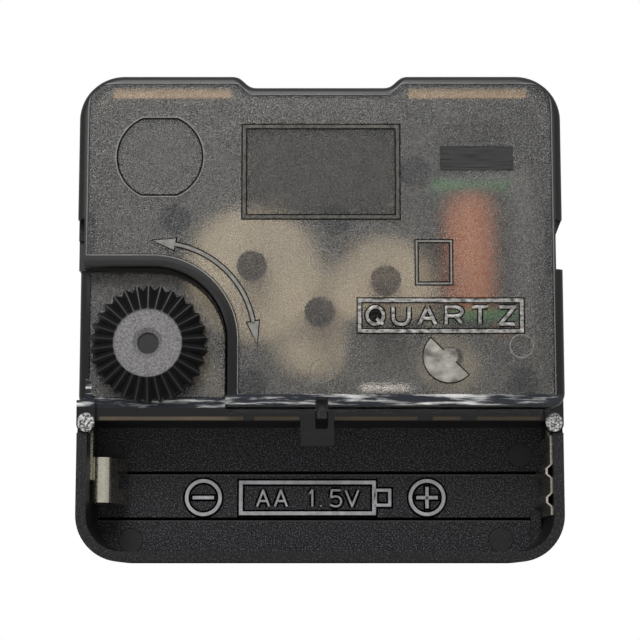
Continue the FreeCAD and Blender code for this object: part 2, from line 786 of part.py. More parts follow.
# Ears, flange over the bay wall and tab over the battery
for side in ("", "-"):
    ear = raised(cover, "ear_seat + seam_gap", "ear_back",
                 box_corners(f"{side}(case_half_width - ear_width)", "-(cover_bottom + ear_drop)",
                             f"{side}case_half_width", f"-{COVER_LOW}"))
    round_off(cover, ear, on_corners(ear, (0, 1)), f"ear_width * {ROUND_SHARE}")
    raised(cover, COVER_RIM, "ear_back",
           box_corners(f"{side}(case_half_width - ear_width)", "-cover_bottom",
                       f"{side}case_half_width", f"-{COVER_LOW}"))
FLANGE_LOW = "-(cover_bottom + flange_width)"
raised(cover, FLANGE_FRONT, "recess_floor",
       box_corners(f"-{CASE_SIDE}", FLANGE_LOW, CASE_SIDE, f"-{COVER_LOW}"))
TAB_START = "-(cover_bottom + flange_width / 2)"
TAB_BEND = "-(cover_bottom + flange_width + tab_flat)"
TAB_END = "-(cover_bottom + flange_width + tab_flat + tab_reach)"
tab = outline(cover, "tab_centre - tab_width / 2",
              [("-recess_floor", TAB_START),
               ("-recess_floor", TAB_BEND),
               ("-(recess_floor - tab_fall)", TAB_END),
               ("-(recess_floor - tab_fall - tab_thick)", TAB_END),
               ("-(recess_floor - tab_thick)", TAB_BEND),
               ("-(recess_floor - tab_thick)", "-(bay_top + seam_gap)"),
               (f"-{FLANGE_FRONT}", "-(bay_top + seam_gap)"),
               (f"-{FLANGE_FRONT}", TAB_START)], plane="YZ_Plane")
pad(cover, tab, "tab_width")
sunk(cover, f"({FLANGE_FRONT} - tab_thick - overrun)", BACK,
     box_corners(f"{LATCH_LEFT} - latch_gap", "-(bay_top + overrun)", f"{LATCH_RIGHT} + latch_gap",
                 "latch_thick + latch_gap - bay_top"))

# Notches for the snaps, with the wall made good behind them
PAD_LOW = "snap_low - snap_pad"
PAD_HIGH = "snap_high + snap_pad"
PAD_INNER = f"({COVER_SIDE} - snap_pad)"
PAD_OUTER = f"({COVER_SIDE} + cover_wall / 4)"
NOTCH_SIDE = "(case_half_width - snap_depth)"
raised(cover, COVER_RIM, SKIN,
       box_corners(f"-{PAD_OUTER}", RECESS_BACK_Z, f"-{PAD_INNER}", PAD_HIGH),
       box_corners(PAD_INNER, PAD_LOW, PAD_OUTER, PAD_HIGH))
sunk(cover, f"({COVER_RIM} - overrun)", BACK,
     box_corners(f"-{BEYOND}", "snap_high - snap_hook", f"-{NOTCH_SIDE}", "snap_high + seam_gap"),
     box_corners(NOTCH_SIDE, "snap_low", BEYOND, "snap_high"))
sunk(cover, "snap_ledge", BACK,
     box_corners(f"-{BEYOND}", "recess_top", f"-{NOTCH_SIDE}", "snap_high - snap_hook / 2"))
raised(cover, "snap_ledge", "snap_ledge + gusset_thick",
       [(f"{NOTCH_SIDE} - cover_wall / 4", "snap_high + seam_gap"),
        (f"{NOTCH_SIDE} - cover_wall / 4", "snap_high - gusset_height"),
        (NOTCH_SIDE, "snap_high - gusset_height"),
        ("case_half_width", "snap_high + seam_gap")])
named("back_cover", cover)

# Threaded bush, with a plain shoulder in the case's wall
named("threaded_bush", turned("threaded_bush", [
    ("hour_pipe_radius + running_gap", "front_wall"),
    ("hour_pipe_radius + running_gap", "-bush_length"),
    ("bush_radius - bush_chamfer", "-bush_length"),
    ("bush_radius", "-(bush_length - bush_chamfer)"),
    ("bush_radius", "0"),
    (BUSH_SHOULDER, "0"),
    (BUSH_SHOULDER, "front_wall - bush_flange_thick"),
    ("bush_flange", "front_wall - bush_flange_thick"),
    ("bush_flange", "front_wall"),
]))



def seat_and_relief(radius, relief, end, mouth):
    """Outer corners of a hand's seat from its tip, and of the relief below it in the next mouth."""
    return [
        (f"{radius} - tip_chamfer", f"-{end}"),
        (radius, f"-({end} - tip_chamfer)"),
        (radius, f"-({mouth} + seat_gap)"),
        (f"{radius} - {relief}", f"-({mouth} + seat_gap)"),
        (f"{radius} - {relief}", f"-({mouth} - relief_length)"),
        (radius, f"-({mouth} - relief_length)"),
    ]


# Motion work: hour wheel, minute pipe and the wheel between them
hour_module = module_of("transfer_distance", "hour_teeth", "transfer_leaves")
transfer_module = module_of("transfer_distance", "transfer_teeth", "cannon_teeth")
transfer_phase = meshing(size("transfer_bearing"), "cannon_teeth", 0, "transfer_teeth")
hour_phase = meshing(size("transfer_bearing") + 180, "transfer_leaves", 0, "hour_teeth")
setting_phase = meshing(size("setting_bearing"), "transfer_teeth", transfer_phase, "setting_teeth")

hour_pipe = turned("hour_pipe", [
    ("minute_pipe_radius + running_gap", f"{HOUR_LEVEL} + wheel_thick"),
    ("minute_pipe_radius + running_gap", "-hour_pipe_end"),
    *seat_and_relief("hour_pipe_radius", "pipe_relief", "hour_pipe_end", "bush_length"),
    ("hour_pipe_radius", f"{HOUR_LEVEL} + wheel_thick"),
])
hour_disc = wheel("hour_disc", "hour_teeth", hour_module, hour_phase, HOUR_LEVEL)
hour_bore = rod("hour_bore", "minute_pipe_radius + running_gap", "-overrun", PLATE_LEVEL)
named("hour_wheel", join("hour_wheel", hour_pipe, cut("hour_ring", hour_disc, hour_bore)))

minute_sleeve = turned("minute_sleeve", [
    ("seconds_radius + running_gap", f"{CENTRE_LEVEL} + wheel_thick + clutch_thick"),
    ("seconds_radius + running_gap", "-minute_pipe_end"),
    *seat_and_relief("minute_pipe_radius", "pipe_relief", "minute_pipe_end", "hour_pipe_end"),
    ("minute_pipe_radius", f"{TRANSFER_LEVEL} + wheel_thick"),
    ("minute_sleeve_radius", f"{TRANSFER_LEVEL} + wheel_thick"),
    ("minute_sleeve_radius", f"{CENTRE_LEVEL} + wheel_thick + clutch_thick"),
])
cannon = leaves("cannon", "cannon_teeth", transfer_module, 0, TRANSFER_LEVEL)
cannon_bore = rod("cannon_bore", "seconds_radius + running_gap", "-overrun", PLATE_LEVEL)
named("minute_pipe", join("minute_pipe", minute_sleeve, cut("cannon_ring", cannon, cannon_bore)))

transfer_disc = wheel("transfer_disc", "transfer_teeth", transfer_module, transfer_phase,
                      TRANSFER_LEVEL, TRANSFER_X, TRANSFER_Z)
transfer_pinion = leaves("transfer_pinion", "transfer_leaves", hour_module, 0,
                         HOUR_LEVEL, TRANSFER_X, TRANSFER_Z)
transfer_hub = rod("transfer_hub", "transfer_post_radius + hub_radius / 2", HOUR_LEVEL,
                   f"{TRANSFER_LEVEL} + wheel_thick", TRANSFER_X, TRANSFER_Z)
transfer_bore = rod("transfer_bore", "transfer_post_radius + running_gap", "0", PLATE_LEVEL,
                    TRANSFER_X, TRANSFER_Z)
transfer_whole = join("transfer_whole", transfer_disc, transfer_pinion, transfer_hub)
named("transfer_wheel", cut("transfer_wheel", transfer_whole, transfer_bore))
named("transfer_post", rod("transfer_post", "transfer_post_radius", FLOOR,
                           f"{TRANSFER_LEVEL} + wheel_thick + face_spare", TRANSFER_X, TRANSFER_Z))

# Setting arbor and its knob
setting_pinion = leaves("setting_pinion", "setting_teeth", transfer_module, setting_phase,
                        TRANSFER_LEVEL, SETTING_X, SETTING_Z)
setting_stem = rod("setting_stem", "setting_radius", f"{BOSS_BACK} - blind_depth + end_gap",
                   "knob_back - 2 * knob_dish_deep", SETTING_X, SETTING_Z)
named("setting_arbor", join("setting_arbor", setting_pinion, setting_stem))

knob = turned("setting_knob", [
    ("setting_radius", KNOB_FRONT),
    ("knob_radius", KNOB_FRONT),
    ("knob_radius", "knob_back - knob_crest_fall"),
    ("knob_hub", "knob_back"),
    ("knob_hub", "knob_back - knob_hub_step"),
    ("knob_dish", "knob_back - knob_hub_step"),
    ("setting_radius", "knob_back - knob_hub_step - knob_dish_deep"),
], SETTING_X, SETTING_Z)
HALF_PITCH = f"({GROOVE_SHARE} * tan(180 / knob_ridges))"


def groove_sketch(radius, crest, groove):
    """V across the ridges at one radius, its sides carried on above the crests."""
    wide = f"({radius} * {HALF_PITCH} * 2)"
    return outline(knob, radius,
                   [(f"-({crest} - {groove})", "0"),
                    (f"-({crest} + {groove})", wide),
                    (f"-({crest} + {groove})", f"-{wide}")], plane="YZ_Plane")


inner_groove = groove_sketch("knob_hub", "knob_back", "knob_groove_inner")
outer_groove = groove_sketch("knob_radius", "(knob_back - knob_crest_fall)", "knob_groove_outer")
groove = knob.newObject("PartDesign::SubtractiveLoft", "Groove")
groove.Profile = inner_groove
groove.Sections = [outer_groove]
groove.Ruled = True
doc.recompute()
flute = sunk(knob, f"({KNOB_FRONT} - overrun)", "(knob_back + overrun)",
             [("knob_valley", "0"),
              ("2 * knob_radius - knob_valley", f"-2 * knob_radius * {HALF_PITCH}"),
              ("2 * knob_radius - knob_valley", f"2 * knob_radius * {HALF_PITCH}")])
ridges = knob.newObject("PartDesign::PolarPattern", "Ridges")
ridges.Originals = [groove, flute]
ridges.Axis = (next(item for item in knob.Origin.OriginFeatures if item.Role == "Y_Axis"), [""])
ridges.Angle = 360
bind(ridges, "Occurrences", "knob_ridges")
knob.Tip = ridges
doc.recompute()
named("setting_knob", knob)

# Centre wheel, which drives the minute pipe through a slipping clutch
centre_module = module_of("third_distance", "centre_teeth", "third_leaves")
third_module = module_of("third_distance", "third_teeth", "seconds_leaves")
seconds_module = module_of("second_distance", "seconds_teeth", "second_leaves")
second_module = module_of("first_distance", "second_teeth", "first_leaves")
first_module = module_of("rotor_distance", "first_teeth", "rotor_leaves")
centre_disc = wheel("centre_disc", "centre_teeth", centre_module,
                    meshing(size("third_bearing") + 180, "third_leaves", 0, "centre_teeth"), CENTRE_LEVEL)
centre_hub = rod("centre_hub", "centre_hub_radius", f"{CENTRE_LEVEL} - level_gap + face_spare",
                 f"{CENTRE_LEVEL} + wheel_thick")
centre_bore = rod("centre_bore", "minute_sleeve_radius + running_gap", "0", PLATE_LEVEL)
named("centre_wheel", cut("centre_wheel", join("centre_whole", centre_disc, centre_hub), centre_bore))
named("clutch_spring", turned("clutch_spring", [
    ("minute_sleeve_radius + running_gap", f"{CENTRE_LEVEL} + wheel_thick"),
    ("centre_hub_radius", f"{CENTRE_LEVEL} + wheel_thick"),
    ("centre_hub_radius", f"{CENTRE_LEVEL} + wheel_thick + clutch_thick / 2"),
    ("minute_sleeve_radius + running_gap", f"{CENTRE_LEVEL} + wheel_thick + clutch_thick"),
]))

# Third wheel, between the seconds pinion and the centre wheel
third_disc = wheel("third_disc", "third_teeth", third_module,
                   meshing(size("third_bearing"), "seconds_leaves", 0, "third_teeth"),
                   THIRD_LEVEL, THIRD_X, THIRD_Z)
third_pinion = leaves("third_pinion", "third_leaves", centre_module, 0, CENTRE_LEVEL, THIRD_X, THIRD_Z)
third_hub = rod("third_hub", "hub_radius", f"{CENTRE_LEVEL} + wheel_thick",
                THIRD_BACK, THIRD_X, THIRD_Z)
third_stem = rod("third_stem", "arbor_radius", f"{BOSS_BACK} - blind_depth + end_gap",
                 f"{THIRD_POST} + blind_depth - end_gap", THIRD_X, THIRD_Z)
named("third_wheel", join("third_wheel", third_disc, third_pinion, third_hub, third_stem))

# Seconds wheel on its steel arbor
seconds_disc = wheel("seconds_disc", "seconds_teeth", seconds_module, 0, SECONDS_LEVEL)
seconds_pinion = leaves("seconds_pinion", "seconds_leaves", third_module, 0, THIRD_LEVEL)
seconds_hub = rod("seconds_hub", "hub_radius", f"{SECONDS_LEVEL} - end_gap", f"{THIRD_LEVEL} + wheel_thick")
seconds_bore = rod("seconds_bore", "seconds_radius", "0", COVER_INNER)
seconds_whole = join("seconds_whole", seconds_disc, seconds_pinion, seconds_hub)
named("seconds_wheel", cut("seconds_wheel", seconds_whole, seconds_bore))
named("seconds_arbor", turned("seconds_arbor", [
    ("0", f"{THIRD_POST} + blind_depth - end_gap"),
    ("0", "-seconds_end"),
    *seat_and_relief("seconds_radius", "seconds_relief", "seconds_end", "minute_pipe_end"),
    ("seconds_radius", f"{THIRD_POST} + blind_depth - end_gap"),
]))

# Two reduction wheels between the rotor and the seconds wheel
STEM_FRONT = f"({PLATE_LEVEL} + end_gap)"
second_disc = wheel("second_disc", "second_teeth", second_module, 0, THIRD_LEVEL, SECOND_X, SECOND_Z)
second_pinion = leaves("second_pinion", "second_leaves", seconds_module,
                       meshing(size("second_bearing"), "seconds_teeth", 0, "second_leaves"),
                       SECONDS_LEVEL, SECOND_X, SECOND_Z)
second_hub = rod("second_hub", "hub_radius", f"{SECONDS_LEVEL} - face_spare",
                 THIRD_BACK, SECOND_X, SECOND_Z)
second_stem = rod("second_stem", "arbor_radius", STEM_FRONT,
                  f"{SECOND_POST} + blind_depth - end_gap", SECOND_X, SECOND_Z)
named("second_reduction_wheel",
      join("second_reduction_wheel", second_disc, second_pinion, second_hub, second_stem))
first_disc = wheel("first_disc", "first_teeth", first_module, 0, FIRST_LEVEL, FIRST_X, FIRST_Z)
first_pinion = leaves("first_pinion", "first_leaves", second_module,
                      meshing(size("first_bearing"), "second_teeth", 0, "first_leaves"),
                      THIRD_LEVEL, FIRST_X, FIRST_Z)
first_hub = rod("first_hub", "hub_radius * 3 / 4", f"{PLATE_BACK} + end_gap",
                FIRST_BACK, FIRST_X, FIRST_Z)
first_stem = rod("first_stem", "arbor_radius", STEM_FRONT,
                 f"{FIRST_POST} + blind_depth - end_gap", FIRST_X, FIRST_Z)
named("first_reduction_wheel",
      join("first_reduction_wheel", first_disc, first_pinion, first_hub, first_stem))

# Rotor of the stepping motor
rotor_pinion = leaves("rotor_pinion", "rotor_leaves", first_module,
                      meshing(size("rotor_bearing"), "first_teeth", 0, "rotor_leaves"),
                      FIRST_LEVEL, ROTOR_X, ROTOR_Z)
rotor_disc = rod("rotor_disc", "disc_radius", DISC_LEVEL, DISC_BACK, ROTOR_X, ROTOR_Z)
rotor_hub = rod("rotor_hub", "hub_radius * 3 / 4", MAGNET_LEVEL, FIRST_LEVEL, ROTOR_X, ROTOR_Z)
rotor_bore = rod("rotor_bore", "pivot_radius", "0", COVER_INNER, ROTOR_X, ROTOR_Z)
named("rotor", cut("rotor", join("rotor_whole", rotor_pinion, rotor_disc, rotor_hub), rotor_bore))
named("rotor_magnet", turned("rotor_magnet", [
    ("hub_radius * 3 / 4", MAGNET_LEVEL),
    ("magnet_radius", MAGNET_LEVEL),
    ("magnet_radius", DISC_LEVEL),
    ("hub_radius * 3 / 4", DISC_LEVEL),
], ROTOR_X, ROTOR_Z))
named("rotor_pivot", rod("rotor_pivot", "pivot_radius", f"{ROTOR_BOSS} - blind_depth + end_gap",
                         f"{FIRST_POST} + blind_depth - end_gap", ROTOR_X, ROTOR_Z))

# Train plate
train = new_body("train_plate")
PLATE_LOW = "-(slim_pillar_z + plate_edge)"
sheet_plate = raised(train, PLATE_LEVEL, PLATE_BACK, [
    ("-(post_low_x + plate_margin)", PLATE_LOW),
    ("post_right_x + plate_margin", PLATE_LOW),
    ("post_right_x + plate_margin", "post_right_z + plate_margin"),
    ("post_right_x - plate_margin", "post_right_z + plate_margin"),
    ("post_mid_x + plate_margin", "post_mid_z + plate_margin"),
    ("-(post_left_x + plate_margin)", "post_left_z + plate_margin"),
    ("-(post_left_x + plate_margin)", "post_left_z - plate_margin"),
])
round_off(train, sheet_plate, on_corners(sheet_plate, range(7)), "plate_corner")
sunk_round(train, f"{PLATE_LEVEL} - overrun", f"{PLATE_BACK} + overrun",
           ("0", "0", "seconds_radius + running_gap"),
           (SECOND_X, SECOND_Z, "arbor_radius + running_gap"),
           (FIRST_X, FIRST_Z, "arbor_radius + running_gap"),
           (THIRD_X, THIRD_Z, "hub_radius + level_gap"),
           ("slim_pillar_x", "-slim_pillar_z", "slim_pillar_radius + seam_gap"))
named("train_plate", train)

# Stator plates round the rotor
def sector(label, turn):
    """Half disc about the rotor's axis that starts at a bearing."""
    half = rod(label, "stator_ring", STATOR_LEVEL, STATOR_BACK, ROTOR_X, ROTOR_Z)
    half.Placement.Rotation = FreeCAD.Rotation(VECTOR(1, 0, 0), 90) * FreeCAD.Rotation(VECTOR(0, 0, 1), turn)
    half.Angle = 180
    return half


def ring_point(turn):
    return (f"{ROTOR_X} + {RING_MIDDLE} * cos({turn})", f"{ROTOR_Z} + {RING_MIDDLE} * sin({turn})")


def stator(label, turn, corners):
    """Arm and half ring, with the rotor's hole and the slot between the halves cut out."""
    arm = new_body(f"{label}_arm")
    raised(arm, STATOR_LEVEL, STATOR_BACK, corners)
    whole = join(f"{label}_whole", arm, sector(f"{label}_half", turn))
    hole = rod(f"{label}_hole", "stator_hole", FLOOR, BOARD_LEVEL, ROTOR_X, ROTOR_Z)
    slot = doc.addObject("Part::Box", f"{label}_slot")
    split = size("stator_split")
    slot.Placement.Rotation = FreeCAD.Rotation(VECTOR(0, 1, 0), -split)
    bind(slot, "Length", "4 * stator_ring")
    bind(slot, "Width", f"{BOARD_LEVEL}")
    bind(slot, "Height", "stator_slot")
    bind(slot, "Placement.Base.x",
         f"{ROTOR_X} - 2 * stator_ring * cos(stator_split) + stator_slot / 2 * sin(stator_split)")
    bind(slot, "Placement.Base.y", f"-{BOARD_LEVEL}")
    bind(slot, "Placement.Base.z",
         f"{ROTOR_Z} - 2 * stator_ring * sin(stator_split) - stator_slot / 2 * cos(stator_split)")
    return cut(label, whole, join(f"{label}_cuts", hole, slot))


COIL_LEFT = "(coil_centre - core_width / 2 - stator_clear)"
COIL_RIGHT = "(coil_centre + core_width / 2 + stator_clear)"
ARM_INNER = "(coil_centre + bobbin_pin_side + stator_clear)"
ARM_OUTER = f"({ARM_INNER} + stator_arm)"
BOBBIN_TOP = f"({UPPER_FLANGE} + bobbin_flange_thick)"
BOBBIN_LOW = "(coil_foot - bobbin_flange_thick)"
named("stator_upper", stator("stator_upper", size("stator_split") + 180, [
    (COIL_LEFT, f"{BOBBIN_TOP} + stator_clear"),
    (ARM_INNER, f"{BOBBIN_TOP} + stator_clear"),
    (ARM_INNER, f"{BOBBIN_LOW} - stator_clear"),
    ring_point("stator_split - stator_root"),
    ring_point("stator_split - stator_root - stator_spread"),
    (ARM_OUTER, f"{BOBBIN_LOW} - stator_arm / 2"),
    (ARM_OUTER, f"{BOBBIN_TOP} + stator_clear + stator_arm"),
    (COIL_LEFT, f"{BOBBIN_TOP} + stator_clear + stator_arm"),
]))
named("stator_lower", stator("stator_lower", size("stator_split"), [
    ring_point("stator_split + stator_root"),
    (COIL_RIGHT, f"{BOBBIN_LOW} - core_reach - stator_clear"),
    (COIL_RIGHT, f"{BOBBIN_LOW} - stator_clear"),
    (COIL_LEFT, f"{BOBBIN_LOW} - stator_clear"),
    ring_point("stator_split + stator_root + stator_spread"),
]))

# Coil on its bobbin, with the core through it
core = doc.addObject("Part::Box", "coil_core")
bind(core, "Length", "core_width")
bind(core, "Width", "core_thick")
bind(core, "Height", f"{BOBBIN_TOP} - {BOBBIN_LOW} + 2 * core_reach")
place(core, "coil_centre - core_width / 2", f"{COIL_LEVEL} + core_thick / 2", f"{BOBBIN_LOW} - core_reach")
named("coil_core", core)

bobbin = new_body("coil_bobbin")
BOBBIN_FRONT = f"({COIL_LEVEL} - bobbin_flange_deep)"
BOBBIN_BACK = f"({COIL_LEVEL} + bobbin_flange_deep)"


def upright(body, low, high, corners):
    """Pad along Z of a loop given as across and depth."""
    sketch = outline(body, low, [(across, f"-({depth})") for across, depth in corners], plane="XY_Plane")
    return pad(body, sketch, f"({high}) - ({low})")


tube = new_sketch(bobbin, BOBBIN_LOW, "XY_Plane")
add_circle(tube, "coil_centre", f"-{COIL_LEVEL}", "bobbin_radius")
pad(bobbin, tube, f"{BOBBIN_TOP} - {BOBBIN_LOW}")
for low, high, left, right in ((BOBBIN_LOW, "coil_foot", "bobbin_narrow", "bobbin_pin_side"),
                               (UPPER_FLANGE, BOBBIN_TOP, "bobbin_wide", "bobbin_wide")):
    corners = box_corners(f"coil_centre - {left}", BOBBIN_FRONT, f"coil_centre + {right}", BOBBIN_BACK)
    flange = upright(bobbin, low, high, corners)
    round_off(bobbin, flange, on_corners(flange, range(4)), "bobbin_corner")
channel = outline(bobbin, f"{BOBBIN_TOP} + overrun",
                  box_corners("coil_centre - core_width / 2", f"-({COIL_LEVEL} + core_thick / 2)",
                              "coil_centre + core_width / 2", f"-({COIL_LEVEL} - core_thick / 2)"),
                  plane="XY_Plane")
pocket(bobbin, channel, f"{BOBBIN_TOP} - {BOBBIN_LOW} + 2 * overrun")
named("coil_bobbin", bobbin)

winding = new_body("coil_winding")
profile = outline(winding, "0", [
    ("bobbin_radius", "coil_foot"),
    ("winding_radius - winding_crown", "coil_foot"),
    ("winding_radius", "coil_foot + coil_length / 8"),
    ("winding_radius", "coil_foot + coil_length * 7 / 8"),
    ("winding_radius - winding_crown", UPPER_FLANGE),
    ("bobbin_radius", UPPER_FLANGE),
])
barrel = winding.newObject("PartDesign::Revolution", "Barrel")
barrel.Profile = profile
barrel.ReferenceAxis = (profile, ["V_Axis"])
doc.recompute()
named("coil_winding", place(winding, "coil_centre", COIL_LEVEL))

tags = []
for i in range(2):
    tag = doc.addObject("Part::Box", f"coil_tag_{i + 1}")
    bind(tag, "Length", "tag_width")
    bind(tag, "Width", "tag_thick")
    bind(tag, "Height", "tag_reach")
    place(tag, f"coil_centre + tag_first + {i} * tag_spacing", f"{BOARD_BACK} + tag_thick",
          f"{BOBBIN_LOW} - tag_reach")
    tags.append(tag)
tag_pair = doc.addObject("Part::Compound", "coil_tags")
tag_pair.Links = tags
named("coil_tags", tag_pair)

# Circuit board with its chip and crystal
board = new_body("circuit_board")
blank = raised(board, BOARD_LEVEL, BOARD_BACK, [
    ("board_left", "-board_bottom"),
    ("board_right", "-board_bottom"),
    ("board_right", "-(board_top + board_step)"),
    ("board_step_x", "-(board_top + board_step)"),
    ("board_step_x", "-board_top"),
    ("board_left", "-board_top"),
])
round_off(board, blank, on_corners(blank, (0, 1, 2, 4, 5)), "board_corner")
sunk_round(board, f"{BOARD_LEVEL} - overrun", f"{BOARD_BACK} + overrun",
           (ROTOR_X, ROTOR_Z, "window_radius"),
           (FIRST_X, FIRST_Z, "post_radius + board_hole_gap"))
named("circuit_board", board)

chip = new_body("chip_potting")
blob = raised_round(chip, BOARD_BACK, f"{BOARD_BACK} + chip_height", ("chip_x", "-chip_z", "chip_radius"))


def outermost(edge):
    """Edge farthest from the dial."""
    return edge.BoundBox.YMax < chip.Shape.BoundBox.YMin + size("seam_gap")


round_off(chip, blob, outermost, "chip_round")
named("chip_potting", chip)

can = []
CRYSTAL_DEPTH = f"({BOARD_BACK} + crystal_radius)"
for label, radius, length, left, shift in (
        ("crystal_body", "crystal_radius", "crystal_length", "crystal_left", "0"),
        ("crystal_lead_1", "crystal_lead_radius", "crystal_lead_length",
         "crystal_left + crystal_length", "crystal_lead_half"),
        ("crystal_lead_2", "crystal_lead_radius", "crystal_lead_length",
         "crystal_left + crystal_length", "-crystal_lead_half")):
    bar = doc.addObject("Part::Cylinder", label)
    bar.Placement.Rotation = FreeCAD.Rotation(VECTOR(0, 1, 0), 90)
    bind(bar, "Radius", radius)
    bind(bar, "Height", length)
    can.append(place(bar, left, CRYSTAL_DEPTH, f"-crystal_z + {shift}"))
named("crystal_can", join("crystal_can", *can))

# Battery contacts, each with a lead into the works that touches the board
FOOT = "(front_wall + contact_foot)"
LEAD_START = f"({LEAD_BACK} - strip)"
negative = new_body("negative_contact")
SPRING_LOW = "-(negative_centre + negative_width / 2)"
SPRING_HIGH = "-(negative_centre - negative_width / 2)"
spring = upright(negative, SPRING_LOW, SPRING_HIGH, [
    (f"-{CASE_SIDE}", FOOT),
    (f"-{CASE_SIDE}", "negative_crest"),
    (f"-({CASE_SIDE} - negative_span)", "negative_crest"),
    (f"-({CASE_SIDE} - negative_toe)", "negative_toe_depth"),
    (f"-({CASE_SIDE} - negative_toe + strip)", "negative_toe_depth"),
    (f"-({CASE_SIDE} - negative_span + strip)", "negative_crest - strip"),
    (f"-({CASE_SIDE} - strip)", "negative_crest - strip"),
    (f"-({CASE_SIDE} - strip)", FOOT),
])
outer_bend = round_off(negative, spring, on_corners(spring, (1, 2)), "negative_bend")
round_off(negative, outer_bend, on_corners(spring, (5, 6)), "negative_bend - strip")
fork = outline(negative, f"-({CASE_SIDE} - negative_toe - overrun)",
               box_corners("-fork_top", "-(negative_centre + fork_width / 2)",
                           "-(negative_toe_depth - overrun)", "-(negative_centre - fork_width / 2)"),
               plane="YZ_Plane")
pocket(negative, fork, "overrun + negative_toe - 2 * strip")
raised(negative, "lead_front", LEAD_BACK, [
    (f"-{CASE_SIDE}", "-negative_centre"),
    (f"-({CASE_SIDE} - strip)", "-negative_centre"),
    (f"-({CASE_SIDE} - strip)", f"-{WORKS_BOTTOM}"),
    ("lead_end", f"-{WORKS_BOTTOM}"),
    ("lead_end", f"-({WORKS_BOTTOM} - strip)"),
    (f"-{CASE_SIDE}", f"-({WORKS_BOTTOM} - strip)"),
])
finger = outline(negative, "lead_end - lead_width", [
    (f"-{LEAD_START}", f"-{WORKS_BOTTOM}"),
    (f"-{BOARD_LEVEL}", f"-({WORKS_BOTTOM} - finger_run)"),
    (f"-{BOARD_LEVEL}", f"-({WORKS_BOTTOM} - finger_run - finger_tip)"),
    (f"-{LEAD_START}", f"-({WORKS_BOTTOM} - finger_tip)"),
], plane="YZ_Plane")
pad(negative, finger, "lead_width")
named("negative_contact", negative)

positive = new_body("positive_contact")
PLATE_INNER = f"({CASE_SIDE} - strip)"


def bump(level, face, reach, outward):
    """Corners of one pressed bump, from its lower foot to its upper foot."""
    half = "(bump_width / 2)"
    foot = "bump_foot"
    corners = [
        (face, f"-({level} + {half})"),
        (f"{face} - {reach}", f"-({level} + {half} - {foot})"),
        (f"{face} - {reach}", f"-({level} - {half} + {foot})"),
        (face, f"-({level} - {half})"),
    ]
    return corners if outward else corners[::-1]


raised(positive, FOOT, "positive_back",
       [(CASE_SIDE, "-positive_bottom"), (PLATE_INNER, "-positive_bottom")]
       + bump("bump_lower", PLATE_INNER, "bump_reach", True)
       + bump("bump_upper", PLATE_INNER, "bump_reach", True)
       + [(PLATE_INNER, "-positive_top"), (CASE_SIDE, "-positive_top")]
       + bump("bump_upper", CASE_SIDE, "bump_reach", False)
       + bump("bump_lower", CASE_SIDE, "bump_reach", False))
raised(positive, "lead_front", LEAD_BACK,
       box_corners(PLATE_INNER, "-(positive_top + lead_width)", CASE_SIDE, "-lead_top"))
upright(positive, "-(lead_top + lead_width)", "-lead_top", [
    (CASE_SIDE, LEAD_START),
    (f"{CASE_SIDE} - finger_run", BOARD_LEVEL),
    (f"{CASE_SIDE} - finger_run - finger_tip", BOARD_LEVEL),
    (f"{CASE_SIDE} - finger_tip", LEAD_START),
])
named("positive_contact", positive)

# Checks and files
doc.recompute()
for item in doc.Objects:
    if "Invalid" in item.State or "Error" in item.State:
        raise ValueError(f"{item.Label} failed: {item.State}")
for label, item in PARTS.items():
    shape = item.Shape
    if shape.isNull() or not shape.isValid():
        raise ValueError(f"{label} has no valid shape")
os.makedirs("parts", exist_ok=True)
for label, item in PARTS.items():
    item.Shape.exportStep(f"parts/{label}.step")
    print(label, len(item.Shape.Solids), round(item.Shape.Volume, 2))
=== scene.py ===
import math

import bmesh
import bpy
from mathutils import Matrix, Vector


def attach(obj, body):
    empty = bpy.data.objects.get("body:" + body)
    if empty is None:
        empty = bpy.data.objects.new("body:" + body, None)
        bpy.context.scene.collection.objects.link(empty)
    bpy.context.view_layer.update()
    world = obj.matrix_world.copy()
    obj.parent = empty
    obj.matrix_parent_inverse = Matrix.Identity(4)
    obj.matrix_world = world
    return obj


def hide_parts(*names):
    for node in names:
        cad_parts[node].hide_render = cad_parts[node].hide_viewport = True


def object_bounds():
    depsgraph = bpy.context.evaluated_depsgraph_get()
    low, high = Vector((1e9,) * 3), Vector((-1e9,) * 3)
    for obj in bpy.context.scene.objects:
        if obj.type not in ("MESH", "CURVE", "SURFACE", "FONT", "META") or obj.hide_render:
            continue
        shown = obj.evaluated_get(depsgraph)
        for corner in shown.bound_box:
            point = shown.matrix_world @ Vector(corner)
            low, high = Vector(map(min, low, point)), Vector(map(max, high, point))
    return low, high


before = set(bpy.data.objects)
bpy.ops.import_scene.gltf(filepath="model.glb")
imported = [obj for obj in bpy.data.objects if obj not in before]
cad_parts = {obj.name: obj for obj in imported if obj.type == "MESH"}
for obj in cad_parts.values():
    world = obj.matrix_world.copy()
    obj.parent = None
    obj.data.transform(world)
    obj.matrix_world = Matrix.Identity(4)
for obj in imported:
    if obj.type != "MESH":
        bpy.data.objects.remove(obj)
cad_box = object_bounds()

# Sizes and places in mm, x to the right and z up
MM = 0.001
COVER_FACE = -15.5
BAY_FLOOR = -1.2
KNOB_CENTRE = (-19.83, -3.6)
HUB_RADIUS = 4.0

# The cover's outline: half its width, its foot, and its head over the lobes and in the dip between them
COVER_SIDE = 26.85
COVER_FOOT = -9.62
LOBE_HEAD = 26.8
DIP_HEAD = 25.45
DIP_START, DIP_END = 8.1, 9.6

# The knob's well: centre of its round corner, the polished rim round it, its frosted bed and the bed's level
WELL_CORNER = (-19.4, -3.4)
WELL_RIM = 10.1
WELL_BED = 8.35
BED_LEVEL = -12.0

